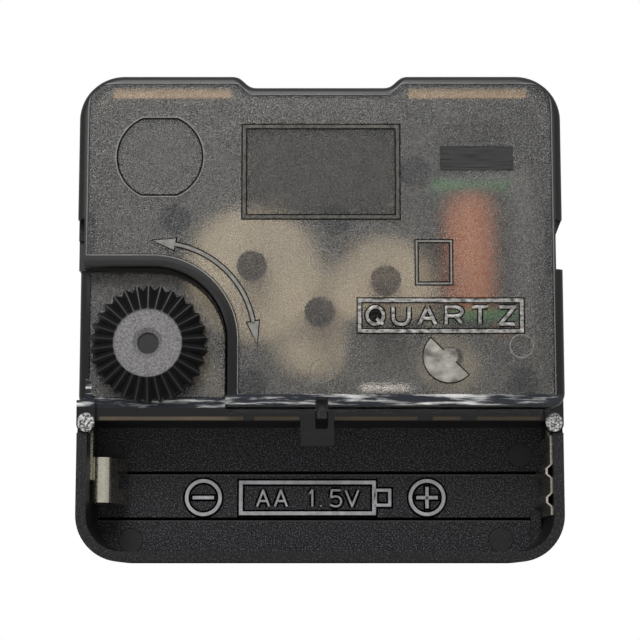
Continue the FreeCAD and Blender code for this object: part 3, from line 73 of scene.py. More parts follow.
# Marks on the cover and in the bay
MEDALLION = (-18.61, 18.13)
MEDALLION_FLAT = 0.42
ARROW_CENTRE = (-18.71, -3.23)
ARROW_RADIUS = 11.2
ARROW_HALF_BAND = 0.2
SPOT_CENTRE = (14.85, -5.25)
MINUS_X, PLUS_X = -14.1, 12.94
POLE_Z = -20.74
POLE_BAR = (2.6, 0.42)

# The bush: its thread, its neck and flange, and the levels of each
BUSH_RADIUS = 4.0
BUSH_BORE = 2.61
THREAD_PITCH = 0.75
THREAD_DEPTH = 0.44
THREAD_START = 0.6
THREAD_TURNS = 8
TURN_STEPS = 64
THREAD_FOOT, THREAD_HEAD = 0.3, 4.85
NECK_RADIUS = 4.3
FLANGE_RADIUS = 5.2
FLANGE_TOP, FLANGE_FOOT = -0.5, -1.2
BUSH_HEAD = 5.0


# Materials

def linear(code):
    """The linear colour of an sRGB hex value."""
    parts = [int(code[i:i + 2], 16) / 255 for i in (1, 3, 5)]
    return [p / 12.92 if p <= 0.04045 else ((p + 0.055) / 1.055) ** 2.4 for p in parts] + [1]


def add(tree, kind, sockets=(), **settings):
    """Adds one node with settings. A socket takes a value, another socket or a node's first output."""
    made = tree.nodes.new("ShaderNode" + kind)
    for name, value in settings.items():
        setattr(made, name, value)
    for name, value in dict(sockets).items():
        if isinstance(value, bpy.types.Node):
            value = next(output for output in value.outputs if output.enabled)
        if isinstance(value, bpy.types.NodeSocket):
            tree.links.new(value, made.inputs[name])
        else:
            made.inputs[name].default_value = value
    return made


def finish(name, colour, roughness, **values):
    """A new material with its shader, and Object coordinates to draw its patterns with."""
    material = bpy.data.materials.new(name)
    material.use_nodes = True
    tree = material.node_tree
    tree.nodes.clear()
    wanted = {"Base Color": linear(colour), "Roughness": roughness}
    wanted.update({key.replace("_", " "): value for key, value in values.items()})
    shader = add(tree, "BsdfPrincipled", wanted)
    add(tree, "OutputMaterial", {"Surface": shader})
    place = add(tree, "TexCoord").outputs["Object"]
    return material, tree, shader, place


def grain(tree, shader, place, size, depth, tones, rough):
    """A moulded or ground surface: its grain's size and depth in mm, tones if any, range of roughness."""
    noise = add(tree, "TexNoise", {"Vector": place, "Scale": 1 / (size * MM), "Detail": 3.0,
                                   "Roughness": 0.6})
    bump = add(tree, "Bump", {"Height": noise, "Distance": depth * MM, "Strength": 1.0})
    tree.links.new(bump.outputs[0], shader.inputs["Normal"])
    if tones:
        cloud = add(tree, "TexNoise", {"Vector": place, "Scale": 1 / (9 * size * MM), "Detail": 4.0})
        blend = add(tree, "Mix", {"Factor": cloud, "A": linear(tones[0]), "B": linear(tones[1])},
                    data_type="RGBA")
        tree.links.new(blend.outputs["Result"], shader.inputs["Base Color"])
    wear_and_glint = add(tree, "MapRange", {"Value": noise, "From Min": 0.3, "From Max": 0.7,
                                  "To Min": rough[0], "To Max": rough[1]})
    tree.links.new(wear_and_glint.outputs[0], shader.inputs["Roughness"])
    return noise


# Black ABS moulded on a spark-eroded tool: a dry, even grain that breaks every highlight into specks
case_abs, tree, shader, place = finish("case_spark_eroded_abs", "#1a1a1b", 0.5, IOR=1.52,
                                       Specular_IOR_Level=0.28)
speckle = grain(tree, shader, place, 0.17, 0.06, None, (0.36, 0.62))
axes = add(tree, "SeparateXYZ", {"Vector": place})
# The light grey flecks are painted glints: full on the bay floor, fainter nearer the rim
floor_glint_strength = add(tree, "MapRange", {"Value": axes.outputs["Y"], "From Min": -9.0 * MM, "From Max": -1.0 * MM,
                                    "To Min": 0.32, "To Max": 1.0})
painted_glints = add(tree, "MapRange", {"Value": speckle, "From Min": 0.5, "From Max": 0.74, "To Max": floor_glint_strength})
blend = add(tree, "Mix", {"Factor": painted_glints, "A": linear("#09090a"), "B": linear("#85858d")}, data_type="RGBA")
tree.links.new(blend.outputs["Result"], shader.inputs["Base Color"])

# Black ABS, satin: the knob's ribs keep a soft sheen, and its hub's grey is a painted reflection
knob_abs, tree, shader, place = finish("knob_satin_abs", "#1c1c1d", 0.42, IOR=1.52, Specular_IOR_Level=0.4)
speckle = grain(tree, shader, place, 0.2, 0.03, ("#161617", "#202021"), (0.3, 0.5))
ribs = shader.inputs["Base Color"].links[0].from_socket
centre = (KNOB_CENTRE[0] * MM, 0, KNOB_CENTRE[1] * MM)
level = add(tree, "VectorMath", {0: place, 1: centre}, operation="SUBTRACT")
level = add(tree, "VectorMath", {0: level, 1: (1, 0, 1)}, operation="MULTIPLY")
away = add(tree, "VectorMath", {0: level}, operation="LENGTH")
hub = add(tree, "MapRange", {"Value": away, "From Min": (HUB_RADIUS + 0.05) * MM,
                             "From Max": (HUB_RADIUS - 0.1) * MM})
painted_glints = add(tree, "MapRange", {"Value": speckle, "From Min": 0.3, "From Max": 0.72})
painted_sheen = add(tree, "Mix", {"Factor": painted_glints, "A": linear("#4d4c4c"), "B": linear("#959393")}, data_type="RGBA")
whole = add(tree, "Mix", {"Factor": hub, "A": ribs, "B": painted_sheen}, data_type="RGBA")
tree.links.new(whole.outputs["Result"], shader.inputs["Base Color"])

# Natural acetal, moulded: waxy cream with a soft sheen
cream_acetal, tree, shader, place = finish("gear_natural_acetal", "#e6dcc0", 0.4, IOR=1.48)
grain(tree, shader, place, 0.5, 0.01, ("#e2d7ba", "#ece3ca"), (0.32, 0.48))

# Black acetal, moulded: the setting wheels, waxy and dark
black_acetal, tree, shader, place = finish("gear_black_acetal", "#1b1b1b", 0.4, IOR=1.48)
grain(tree, shader, place, 0.5, 0.01, ("#171717", "#222222"), (0.32, 0.48))

# Filled black moulding: dull, with a cloudy flow of its glass filler
plate_filled, tree, shader, place = finish("plate_filled_moulding", "#1f1f20", 0.55, IOR=1.5)
grain(tree, shader, place, 0.4, 0.02, ("#1a1a1b", "#262627"), (0.45, 0.65))

# Turned brass: fine rings left by the tool, shown as a fine even grain
brass_turned, tree, shader, place = finish("bush_turned_brass", "#c9a253", 0.24, Metallic=1.0)
grain(tree, shader, place, 0.3, 0.004, ("#c49c4c", "#d0ab5f"), (0.18, 0.32))

# Ground steel: bright pivots with a very fine grain
steel_ground, tree, shader, place = finish("arbor_ground_steel", "#b9b9b8", 0.22, Metallic=1.0)
grain(tree, shader, place, 0.12, 0.002, ("#aeaeae", "#c4c4c3"), (0.16, 0.3))

# Spring steel strip, bright rolled: a little warmer and duller than the pivots
spring_rolled, tree, shader, place = finish("spring_rolled_steel", "#a9a7a0", 0.28, Metallic=1.0)
grain(tree, shader, place, 0.15, 0.002, ("#9f9d96", "#b4b2ab"), (0.2, 0.36))

# Nickel-plated strip: warm bright metal with rubbed spots
nickel_strip, tree, shader, place = finish("contact_nickel_strip", "#cfcabb", 0.26, Metallic=1.0)
grain(tree, shader, place, 0.25, 0.004, ("#c4bfb0", "#d8d3c5"), (0.18, 0.36))

# Annealed silicon steel: dark, slightly blued laminations
silicon_steel, tree, shader, place = finish("stator_silicon_steel", "#5d5f63", 0.4, Metallic=1.0)
grain(tree, shader, place, 0.3, 0.004, ("#55575c", "#67696c"), (0.32, 0.5))

# Sintered ferrite: dull grey, fine open grain
ferrite, tree, shader, place = finish("magnet_sintered_ferrite", "#4a4b4d", 0.6)
grain(tree, shader, place, 0.15, 0.02, ("#434446", "#525355"), (0.5, 0.7))

# Enamelled copper wire, wound in close turns, with a painted highlight on their crests and painted shade
# between them. The wire is 0.05 mm, too fine to show, so its turns are drawn 0.24 mm apart
winding, tree, shader, place = finish("coil_enamelled_copper", "#c8764c", 0.3, IOR=1.55, Coat_Weight=0.4)
axes = add(tree, "SeparateXYZ", {"Vector": place})
drift = add(tree, "TexNoise", {"Vector": place, "Scale": 1 / (2.5 * MM), "Detail": 2.0})
lag = add(tree, "Math", {0: drift, 1: 0.3 * MM}, operation="MULTIPLY")
along = add(tree, "Math", {0: axes.outputs["Z"], 1: lag}, operation="ADD")
turns = add(tree, "Math", {0: along, 1: 2 * math.pi / (0.24 * MM)}, operation="MULTIPLY")
ridge = add(tree, "Math", {0: turns}, operation="SINE")
height = add(tree, "MapRange", {"Value": ridge, "From Min": -1.0, "From Max": 1.0})
bump = add(tree, "Bump", {"Height": height, "Distance": 0.05 * MM})
tree.links.new(bump.outputs[0], shader.inputs["Normal"])
# Painted highlight on the crests, painted shade in the gaps
blend = add(tree, "Mix", {"Factor": height, "A": linear("#c05518"), "B": linear("#ffab69")}, data_type="RGBA")
tree.links.new(blend.outputs["Result"], shader.inputs["Base Color"])

# Green nylon bobbin, moulded: glossy and a little cloudy
bobbin_nylon, tree, shader, place = finish("bobbin_green_nylon", "#3f9a58", 0.34, IOR=1.53)
grain(tree, shader, place, 0.4, 0.01, ("#4fae69", "#66c480"), (0.28, 0.42))

# Laminate under dark resist: greenish black with a soft shine
board_resist, tree, shader, place = finish("board_dark_resist", "#20241c", 0.35, IOR=1.55)
grain(tree, shader, place, 0.5, 0.02, ("#1b1f18", "#2b3024"), (0.28, 0.45))

# Black epoxy drop: poured, smooth and glossy
epoxy, tree, shader, place = finish("chip_black_epoxy", "#121212", 0.2, IOR=1.55)
grain(tree, shader, place, 0.8, 0.02, ("#101010", "#181818"), (0.15, 0.28))

# Drawn nickel can of the crystal: bright, with a fine grain
drawn_can, tree, shader, place = finish("crystal_drawn_can", "#c3c4c6", 0.25, Metallic=1.0)
grain(tree, shader, place, 0.2, 0.003, ("#b9babc", "#cdced0"), (0.2, 0.34))


# Smoke-tinted styrene, moulded: the back is frosted by a spark-eroded tool, and the rim, the well's edge and
# the inside are polished. The tint is warm grey, so thick walls seen on end go almost black and thin ones tan
smoke, tree, shader, place = finish("cover_smoke_styrene", "#ffffff", 0.06, IOR=1.57, Transmission_Weight=1.0,
                                    Specular_IOR_Level=0.22)
axes = add(tree, "SeparateXYZ", {"Vector": place})
x, y, z = (axes.outputs[name] for name in "XYZ")

# How far a point lies inside the cover's sides, foot and head
off_middle = add(tree, "Math", {0: x}, operation="ABSOLUTE")
side = add(tree, "Math", {0: COVER_SIDE * MM, 1: off_middle}, operation="SUBTRACT")
foot = add(tree, "Math", {0: z, 1: -COVER_FOOT * MM}, operation="ADD")
dip = add(tree, "MapRange", {"Value": off_middle, "From Min": DIP_START * MM, "From Max": DIP_END * MM,
                             "To Min": DIP_HEAD * MM, "To Max": LOBE_HEAD * MM})
head = add(tree, "Math", {0: dip, 1: z}, operation="SUBTRACT")

# Distance from the well's round corner, which counts only to its right and above it
squares = []
for axis, corner in zip((x, z), WELL_CORNER):
    past = add(tree, "Math", {0: axis, 1: -corner * MM}, operation="ADD")
    past = add(tree, "Math", {0: past, 1: 0.0}, operation="MAXIMUM")
    squares.append(add(tree, "Math", {0: past, 1: past}, operation="MULTIPLY"))
reach = add(tree, "Math", {0: squares[0], 1: squares[1]}, operation="ADD")
reach = add(tree, "Math", {0: reach}, operation="SQRT")

# The frosted field of the back and the well's bed, each with a rounded edge
well = add(tree, "Math", {0: reach, 1: WELL_RIM * MM}, operation="SUBTRACT")
inside = add(tree, "Math", {0: side, 1: foot, 2: 0.8 * MM}, operation="SMOOTH_MIN")
inside = add(tree, "Math", {0: inside, 1: head, 2: 4 * MM}, operation="SMOOTH_MIN")
inside = add(tree, "Math", {0: inside, 1: well}, operation="MINIMUM")
field = add(tree, "MapRange", {"Value": inside, "From Min": -0.03 * MM, "From Max": 0.05 * MM})
bed_arc = add(tree, "Math", {0: WELL_BED * MM, 1: reach}, operation="SUBTRACT")
bed = add(tree, "Math", {0: side, 1: foot, 2: 1.6 * MM}, operation="SMOOTH_MIN")
bed = add(tree, "Math", {0: bed, 1: bed_arc}, operation="MINIMUM")
bed = add(tree, "MapRange", {"Value": bed, "From Min": -0.03 * MM, "From Max": 0.05 * MM})
thin = add(tree, "Math", {0: field, 1: bed}, operation="MAXIMUM")
top_face = add(tree, "Math", {0: y, 1: (COVER_FACE + 0.08) * MM}, operation="LESS_THAN")
below = add(tree, "Math", {0: y, 1: (BED_LEVEL + 0.1) * MM}, operation="LESS_THAN")
above = add(tree, "Math", {0: y, 1: (BED_LEVEL - 0.1) * MM}, operation="GREATER_THAN")
bed_face = add(tree, "Math", {0: below, 1: above}, operation="MULTIPLY")
back_frost = add(tree, "Math", {0: field, 1: top_face}, operation="MULTIPLY")
bed_frost = add(tree, "Math", {0: bed, 1: bed_face}, operation="MULTIPLY")
frosted = add(tree, "Math", {0: back_frost, 1: bed_frost}, operation="MAXIMUM")

# Its spark-eroded pits, and a patch that has been scuffed: coarser and deeper
spark = add(tree, "TexNoise", {"Vector": place, "Scale": 1 / (0.17 * MM), "Detail": 1.0, "Roughness": 0.5})
pits = add(tree, "Math", {0: spark, 1: 0.09 * MM, 2: -0.1 * MM}, operation="MULTIPLY_ADD")
pits = add(tree, "Math", {0: pits, 1: frosted}, operation="MULTIPLY")
across = add(tree, "Math", {0: x, 1: 18.05 * MM, 2: 3.45 * MM}, operation="COMPARE")
upright = add(tree, "Math", {0: z, 1: 20.9 * MM, 2: 1.0 * MM}, operation="COMPARE")
patch = add(tree, "Math", {0: across, 1: upright}, operation="MULTIPLY")
patch = add(tree, "Math", {0: patch, 1: top_face}, operation="MULTIPLY")
coarse = add(tree, "TexNoise", {"Vector": place, "Scale": 1 / (0.36 * MM), "Detail": 0.0})
coarse = add(tree, "Math", {0: coarse, 1: patch}, operation="MULTIPLY")
pits = add(tree, "Math", {0: coarse, 1: 0.24 * MM, 2: pits}, operation="MULTIPLY_ADD")
bump = add(tree, "Bump", {"Height": pits, "Distance": 1.0, "Strength": 1.0})
tree.links.new(bump.outputs[0], shader.inputs["Normal"])

# Roughness: specks where it is frosted, clear elsewhere, and a satin inside of the rim that grows with height
speck = add(tree, "MapRange", {"Value": spark, "From Min": 0.32, "From Max": 0.68,
                               "To Min": 0.16, "To Max": 0.34})
satin = add(tree, "MapRange", {"Value": z, "From Min": -6.0 * MM, "From Max": 8.0 * MM,
                               "To Min": 0.08, "To Max": 0.4})
satin = add(tree, "Mix", {"Factor": thin, "A": satin, "B": 0.05}, data_type="FLOAT")
rough = add(tree, "Mix", {"Factor": frosted, "A": satin, "B": speck}, data_type="FLOAT")
tree.links.new(rough.outputs["Result"], shader.inputs["Roughness"])

# A little milkiness in the frost, and a painted highlight line along the frost's edge
pale = add(tree, "MapRange", {"Value": spark, "From Min": 0.3, "From Max": 0.65,
                              "To Min": 0.72, "To Max": 1.0})
milk = add(tree, "MapRange", {"Value": spark, "From Min": 0.25, "From Max": 0.75,
                              "To Min": 0.0, "To Max": 0.035})
line = add(tree, "Math", {0: inside, 1: -0.14 * MM, 2: 0.06 * MM}, operation="COMPARE")
painted_sheen = add(tree, "Math", {0: line, 1: top_face}, operation="MULTIPLY")
painted_sheen = add(tree, "Math", {0: painted_sheen, 1: 0.18}, operation="MULTIPLY")
milk = add(tree, "Math", {0: milk, 1: frosted}, operation="MULTIPLY")
milk = add(tree, "Math", {0: milk, 1: painted_sheen}, operation="MAXIMUM")

# The polished lower edge: dark, with painted reflections in broken bright lengths
low = add(tree, "Math", {0: z, 1: -10.22 * MM, 2: 0.62 * MM}, operation="COMPARE")
corner = add(tree, "Math", {0: x, 1: -26.9 * MM, 2: 0.35 * MM}, operation="COMPARE")
beside = add(tree, "Math", {0: z, 1: -9.2 * MM, 2: 1.7 * MM}, operation="COMPARE")
corner = add(tree, "Math", {0: corner, 1: beside}, operation="MULTIPLY")
low = add(tree, "Math", {0: low, 1: corner}, operation="MAXIMUM")
low = add(tree, "Math", {0: low, 1: below}, operation="MULTIPLY")
streaks = add(tree, "Mapping", {"Vector": place, "Scale": (1 / (6.5 * MM), 1, 1 / (0.55 * MM))})
streaks = add(tree, "TexNoise", {"Vector": streaks, "Scale": 1.0, "Detail": 5.0, "Roughness": 0.6})
bright = add(tree, "MapRange", {"Value": streaks, "From Min": 0.5, "From Max": 0.66})
wear_and_glint = add(tree, "Mix", {"Factor": bright, "A": linear("#2a2d34"), "B": linear("#ececea")}, data_type="RGBA")
milk = add(tree, "Math", {0: milk, 1: low}, operation="MAXIMUM")
clarity = add(tree, "Math", {0: 1.0, 1: milk}, operation="SUBTRACT")
tree.links.new(clarity.outputs[0], shader.inputs["Transmission Weight"])

# Its colour, and the lamp's light, which passes only where the wall is thin. The tint is in its volume
open_part = add(tree, "Math", {0: thin, 1: line}, operation="MAXIMUM")
depth = add(tree, "Mix", {"Factor": open_part, "A": 0.004, "B": pale}, data_type="FLOAT")
# The lower edge's painted reflections go into the base colour here
depth = add(tree, "Mix", {"Factor": low, "A": depth, "B": wear_and_glint}, data_type="RGBA")
tree.links.new(depth.outputs["Result"], shader.inputs["Base Color"])
lamp = add(tree, "LightPath").outputs["Is Shadow Ray"]
lamp = add(tree, "Math", {0: lamp, 1: open_part}, operation="MULTIPLY")
through = add(tree, "BsdfTransparent")
glass = add(tree, "MixShader", {0: lamp, 1: shader, 2: through})
tint = add(tree, "VolumeAbsorption", {"Color": (0.3, 0.2, 0.08, 1), "Density": 440.0})
out = [n for n in tree.nodes if n.type == "OUTPUT_MATERIAL"][0]
tree.links.new(glass.outputs[0], out.inputs["Surface"])
tree.links.new(tint.outputs[0], out.inputs["Volume"])


def polished(name, colour, cover, tones, rough, streak, spread=(0.3, 0.7), shine=0.5):
    """Polished smoke relief over the frosted back: its share of cover, tones and streaks' size in mm."""
    material, tree, shader, place = finish(name, colour, rough[0], IOR=1.57, Specular_IOR_Level=shine)
    scale = (1 / (streak[0] * MM), 1, 1 / (streak[1] * MM))
    stretch = add(tree, "Mapping", {"Vector": place, "Scale": scale})
    wear_and_glint = add(tree, "TexNoise", {"Vector": stretch, "Scale": 1.0, "Detail": 3.0})
    part = add(tree, "MapRange", {"Value": wear_and_glint, "From Min": spread[0], "From Max": spread[1]})
    blend = add(tree, "Mix", {"Factor": part, "A": linear(tones[0]), "B": linear(tones[1])}, data_type="RGBA")
    tree.links.new(blend.outputs["Result"], shader.inputs["Base Color"])
    gloss = add(tree, "MapRange", {"Value": wear_and_glint, "To Min": rough[0], "To Max": rough[1]})
    tree.links.new(gloss.outputs[0], shader.inputs["Roughness"])
    clear = add(tree, "BsdfTransparent")
    mix = add(tree, "MixShader", {0: cover, 1: clear, 2: shader})
    out = [n for n in tree.nodes if n.type == "OUTPUT_MATERIAL"][0]
    tree.links.new(mix.outputs[0], out.inputs["Surface"])
    return material


# Polished relief of the back: painted highlight on its faces, painted shade where its sides slope
relief_painted_highlight = polished("relief_painted_highlight_styrene", "#9c9a96", 0.82, ("#55534f", "#e2e0dc"), (0.1, 0.26),
                       (0.7, 0.4), (0.35, 0.7))
relief_painted_shade = polished("relief_painted_shade_styrene", "#0d0c0b", 0.92, ("#080706", "#100f0d"), (0.3, 0.45),
                       (0.6, 0.6), shine=0.03)
# Frame of the large panel: half clear, with a duller painted sheen than the word
frame_painted_sheen = polished("frame_painted_sheen_styrene", "#77756f", 0.5, ("#55534f", "#96938c"), (0.25, 0.4), (0.5, 0.5),
                      shine=0.3)
# The arrow's band: a painted sheen, duller than the word
arrow_painted_sheen = polished("arrow_painted_sheen_styrene", "#93918c", 0.75, ("#7e7c77", "#a8a6a0"), (0.25, 0.4), (0.8, 0.8))
# Finely etched beds of the panels: a shade darker than the back
etched_bed = polished("bed_etched_styrene", "#3c3a37", 0.14, ("#33312e", "#464440"), (0.3, 0.45), (0.3, 0.3),
                      shine=0.2)
# The blank: scraped over lengthwise, dark and dull
scraped = polished("blank_scraped_styrene", "#2b2b2b", 0.9, ("#202020", "#454545"), (0.35, 0.55), (4.0, 0.14),
                   (0.35, 0.65), shine=0.2)
# The polished spot over the rotor: bright with a painted reflection, with cloudy darker parts
spot_painted_reflection = polished("spot_painted_reflection_styrene", "#a7a49b", 0.92, ("#45433e", "#c4c1b8"), (0.14, 0.26), (2.0, 1.4),
                     shine=0.3)

# Polished strokes in the black bay floor: a painted highlight of bright grey, broken by fine grain
stroke_painted_highlight, tree, shader, place = finish("stroke_painted_highlight_abs", "#7d7d80", 0.2, IOR=1.54)
grain(tree, shader, place, 0.1, 0.01, ("#8a8a8e", "#eeeef2"), (0.14, 0.3))

# Lower edge of a groove, which catches a little light: dim grey
stroke_dim, tree, shader, place = finish("stroke_dim_abs", "#3c3c3f", 0.4, IOR=1.54)
grain(tree, shader, place, 0.3, 0.01, ("#2c2c2e", "#4a4a4d"), (0.3, 0.5))

# Sides of the strokes, which slope away from the light: black, without shine
stroke_edge, tree, shader, place = finish("stroke_edge_abs", "#060606", 0.5, IOR=1.54, Specular_IOR_Level=0.0)
grain(tree, shader, place, 0.3, 0.01, ("#030303", "#080808"), (0.45, 0.6))

# Sharp shadow lines: grooves too narrow for light to reach their floor
groove_shadow, tree, shader, place = finish("groove_shadow_abs", "#040404", 0.95, IOR=1.52,
                                            Specular_IOR_Level=0.0)
grain(tree, shader, place, 0.3, 0.02, ("#020202", "#070707"), (0.9, 1.0))

# Flats left by the tool's ejector pins: smoother than the floor, and scored across
ejector_flat, tree, shader, place = finish("ejector_scored_abs", "#232325", 0.45, IOR=1.54,
                                           Specular_IOR_Level=0.28)
turned = add(tree, "VectorRotate", {"Vector": place, "Axis": (0, 1, 0), "Angle": 0.75})
slant = add(tree, "Mapping", {"Vector": turned, "Scale": (1 / (1.6 * MM), 1, 1 / (0.14 * MM))})
score = add(tree, "TexNoise", {"Vector": slant, "Scale": 1.0, "Detail": 3.0})
bump = add(tree, "Bump", {"Height": score, "Distance": 0.05 * MM})
tree.links.new(bump.outputs[0], shader.inputs["Normal"])
blend = add(tree, "Mix", {"Factor": score, "A": linear("#0c0c0d"), "B": linear("#39393b")}, data_type="RGBA")
tree.links.new(blend.outputs["Result"], shader.inputs["Base Color"])

# Styrene torn off its feed: crumbled, with painted glints on its facets
torn, tree, shader, place = finish("ear_torn_styrene", "#8a8a88", 0.25, IOR=1.57)
speckle = grain(tree, shader, place, 0.28, 0.25, None, (0.1, 0.4))
painted_glints = add(tree, "MapRange", {"Value": speckle, "From Min": 0.4, "From Max": 0.62})
blend = add(tree, "Mix", {"Factor": painted_glints, "A": linear("#262625"), "B": linear("#e8e8e6")}, data_type="RGBA")
tree.links.new(blend.outputs["Result"], shader.inputs["Base Color"])

# Edge of the lid's lip, thin enough to let light through: dark tan
tan_lip, tree, shader, place = finish("lip_thin_styrene", "#7d6a4c", 0.25, IOR=1.57)
grain(tree, shader, place, 0.5, 0.01, ("#352b1b", "#63523a"), (0.3, 0.45))

# Thin rib of the same smoke styrene, lit through from above: light tan
tan_rib, tree, shader, place = finish("rib_thin_styrene", "#c0a06c", 0.3, IOR=1.57)
grain(tree, shader, place, 0.5, 0.01, ("#b08e58", "#cfb07c"), (0.25, 0.4))

slots = {
    "case_black": case_abs, "cover_smoke": smoke, "knob_black": knob_abs, "gear_cream": cream_acetal,
    "gear_black": black_acetal, "plate_black": plate_filled, "brass": brass_turned, "steel": steel_ground,
    "spring_steel": spring_rolled, "contact_nickel": nickel_strip, "stator_steel": silicon_steel,
    "magnet_grey": ferrite, "copper": winding, "bobbin_green": bobbin_nylon, "board_dark": board_resist,
    "potting_black": epoxy, "can_silver": drawn_can,
}
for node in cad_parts.values():
    for holder in node.material_slots:
        holder.material = slots[holder.material.name]


# Relief on the cover and in the bay

TO_BACK = Matrix.Rotation(math.radians(90), 4, "X")


def piece(name, body, bm, *materials):
    """A finished piece of that mesh, riding on a body."""
    mesh = bpy.data.meshes.new(name)
    bm.to_mesh(mesh)
    bm.free()
    made = bpy.data.objects.new(name, mesh)
    bpy.context.scene.collection.objects.link(made)
    for material in materials:
        mesh.materials.append(material)
    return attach(made, body)


def plate(bm, x0, x1, z0, z1):
    """A flat face between those edges in mm."""
    made = bmesh.ops.create_grid(bm, x_segments=1, y_segments=1, size=0.5)["verts"]
    bmesh.ops.scale(bm, vec=(x1 - x0, z1 - z0, 1), verts=made)
    bmesh.ops.translate(bm, vec=((x0 + x1) / 2, (z0 + z1) / 2, 0), verts=made)
    return bm.faces[:]


def hollow(bm, faces, width):
    """Leaves a line of that width along the edge of the faces."""
    bmesh.ops.inset_region(bm, faces=faces, thickness=width, use_even_offset=True, use_boundary=True)
    bmesh.ops.delete(bm, geom=faces, context="FACES")


def lift(bm, height, slope):
    """Raises flat faces by height, with sloping sides, and places the faces in mm."""
    top = bmesh.ops.extrude_face_region(bm, geom=bm.faces[:])["geom"]
    upper = [g for g in top if isinstance(g, bmesh.types.BMFace)]
    bmesh.ops.translate(bm, vec=(0, 0, height), verts=[g for g in top if isinstance(g, bmesh.types.BMVert)])
    if slope:
        rim = {e for f in upper for e in f.edges if len([g for g in e.link_faces if g in upper]) == 1}
        bmesh.ops.bevel(bm, geom=list(rim), offset=slope, affect="EDGES", segments=1, profile=0.5,
                        material=-1)
    bmesh.ops.recalc_face_normals(bm, faces=bm.faces[:])


def set_on(bm, level, split=True):
    """Turns flat relief to face backwards, on a level in mm. split gives slopes the second material."""
    for face in bm.faces:
        face.material_index = 0 if not split or abs(face.normal.z) > 0.86 else 1
    bmesh.ops.transform(bm, matrix=Matrix.Translation((0, level * MM, 0)) @ TO_BACK @ Matrix.Scale(MM, 4),
                        verts=bm.verts[:])


# Letters as the tool cuts them, in strokes of one width. Each stroke is its points in a unit box, its round
# points (an index each) and whether it closes
GLYPHS = {
    "Q": (([(0.5, 1), (0.12, 0.82), (0, 0.5), (0.12, 0.18), (0.5, 0), (0.88, 0.18), (1, 0.5), (0.88, 0.82)],
           range(8), True),
          ([(0.58, 0.32), (0.98, -0.02)], (), False)),
    "U": (([(0, 1), (0, 0.36), (0.16, 0.07), (0.5, 0), (0.84, 0.07), (1, 0.36), (1, 1)], (2, 3, 4), False),),
    "A": (([(0, 0), (0.52, 1.03)], (), False), ([(0.48, 1.03), (1, 0)], (), False),
          ([(0.18, 0.33), (0.82, 0.33)], (), False)),
    "R": (([(0, 0), (0, 1), (0.6, 1), (0.88, 0.9), (0.97, 0.74), (0.88, 0.56), (0.6, 0.47), (0, 0.47)],
           (3, 4, 5), False),
          ([(0.55, 0.47), (1, 0)], (), False)),
    "T": (([(0, 1), (1, 1)], (), False), ([(0.5, 1), (0.5, 0)], (), False)),
    "Z": (([(0, 1), (1.03, 1)], (), False), ([(1, 1.03), (0, -0.03)], (), False),
          ([(-0.03, 0), (1, 0)], (), False)),
    "1": (([(0, 0.78), (0.62, 1.03)], (), False), ([(0.6, 1.03), (0.6, 0)], (), False)),
    ".": (([(0.5, 0), (0.5, 0.06)], (), False),),
    "5": (([(0.92, 1), (0.18, 1)], (), False), ([(0.2, 1.03), (0.12, 0.55)], (), False),
          ([(0.12, 0.55), (0.5, 0.62), (0.86, 0.52), (0.97, 0.3), (0.84, 0.08), (0.48, 0), (0.04, 0.1)],
           (1, 2, 3, 4, 5), False)),
    "V": (([(0, 1), (0.52, -0.03)], (), False), ([(0.48, -0.03), (1, 1)], (), False)),
}


def lettering(places, foot, height, stroke, grow):
    """Flat strokes of letters, each from one x to another in mm, of that width and grown to both sides."""
    curve = bpy.data.curves.new("letters", "CURVE")
    curve.dimensions = "3D"
    curve.resolution_u = 6
    curve.bevel_depth = stroke / 2 + grow
    curve.bevel_resolution = 3
    curve.use_fill_caps = True
    curve.twist_mode = "Z_UP"
    for letter, left, right in places:
        for points, rounded, closed in GLYPHS[letter]:
            spline = curve.splines.new("BEZIER")
            spline.bezier_points.add(len(points) - 1)
            spline.use_cyclic_u = closed
            for number, (u, v) in enumerate(points):
                knot = spline.bezier_points[number]
                knot.co = (left + stroke / 2 + u * (right - left - stroke),
                           foot + stroke / 2 + v * (height - stroke), 0)
                kind = "AUTO" if number in rounded else "VECTOR"
                knot.handle_left_type = knot.handle_right_type = kind
    holder = bpy.data.objects.new("letters", curve)
    bpy.context.scene.collection.objects.link(holder)
    bpy.context.view_layer.update()
    made = bpy.data.meshes.new_from_object(holder.evaluated_get(bpy.context.evaluated_depsgraph_get()))
    bpy.data.objects.remove(holder)
    bm = bmesh.new()
    bm.from_mesh(made)
    bpy.data.meshes.remove(made)
    bmesh.ops.remove_doubles(bm, verts=bm.verts[:], dist=1e-5)
    bmesh.ops.bisect_plane(bm, geom=bm.verts[:] + bm.edges[:] + bm.faces[:], plane_co=(0, 0, 0),
                           plane_no=(0, 0, -1), clear_outer=True)
    bmesh.ops.holes_fill(bm, edges=[e for e in bm.edges if e.is_boundary])
    return bm


def relief(name, level, proud, face, edge, draw, width=0.14):
    """Raised lines as two pieces, a low slope in painted shade and a face in painted highlight. draw gives a
    mesh grown in mm.
    """
    for part, grow, height, material in (("slope", width, 0.4 * proud, edge), ("face", 0.0, proud, face)):
        bm = draw(grow)
        top = max(v.co.z for v in bm.verts)
        if top < 0.001:
            lift(bm, height, 0.0 if grow else min(0.04, height / 2))
        else:
            bmesh.ops.scale(bm, vec=(1, 1, height / top), verts=bm.verts[:])
            bmesh.ops.recalc_face_normals(bm, faces=bm.faces[:])
            for f in bm.faces:
                f.smooth = True
            for e in bm.edges:
                e.smooth = e.calc_face_angle(0.0) < 0.9
        set_on(bm, level, False)
        piece(f"{name}_{part}", "case", bm, material)


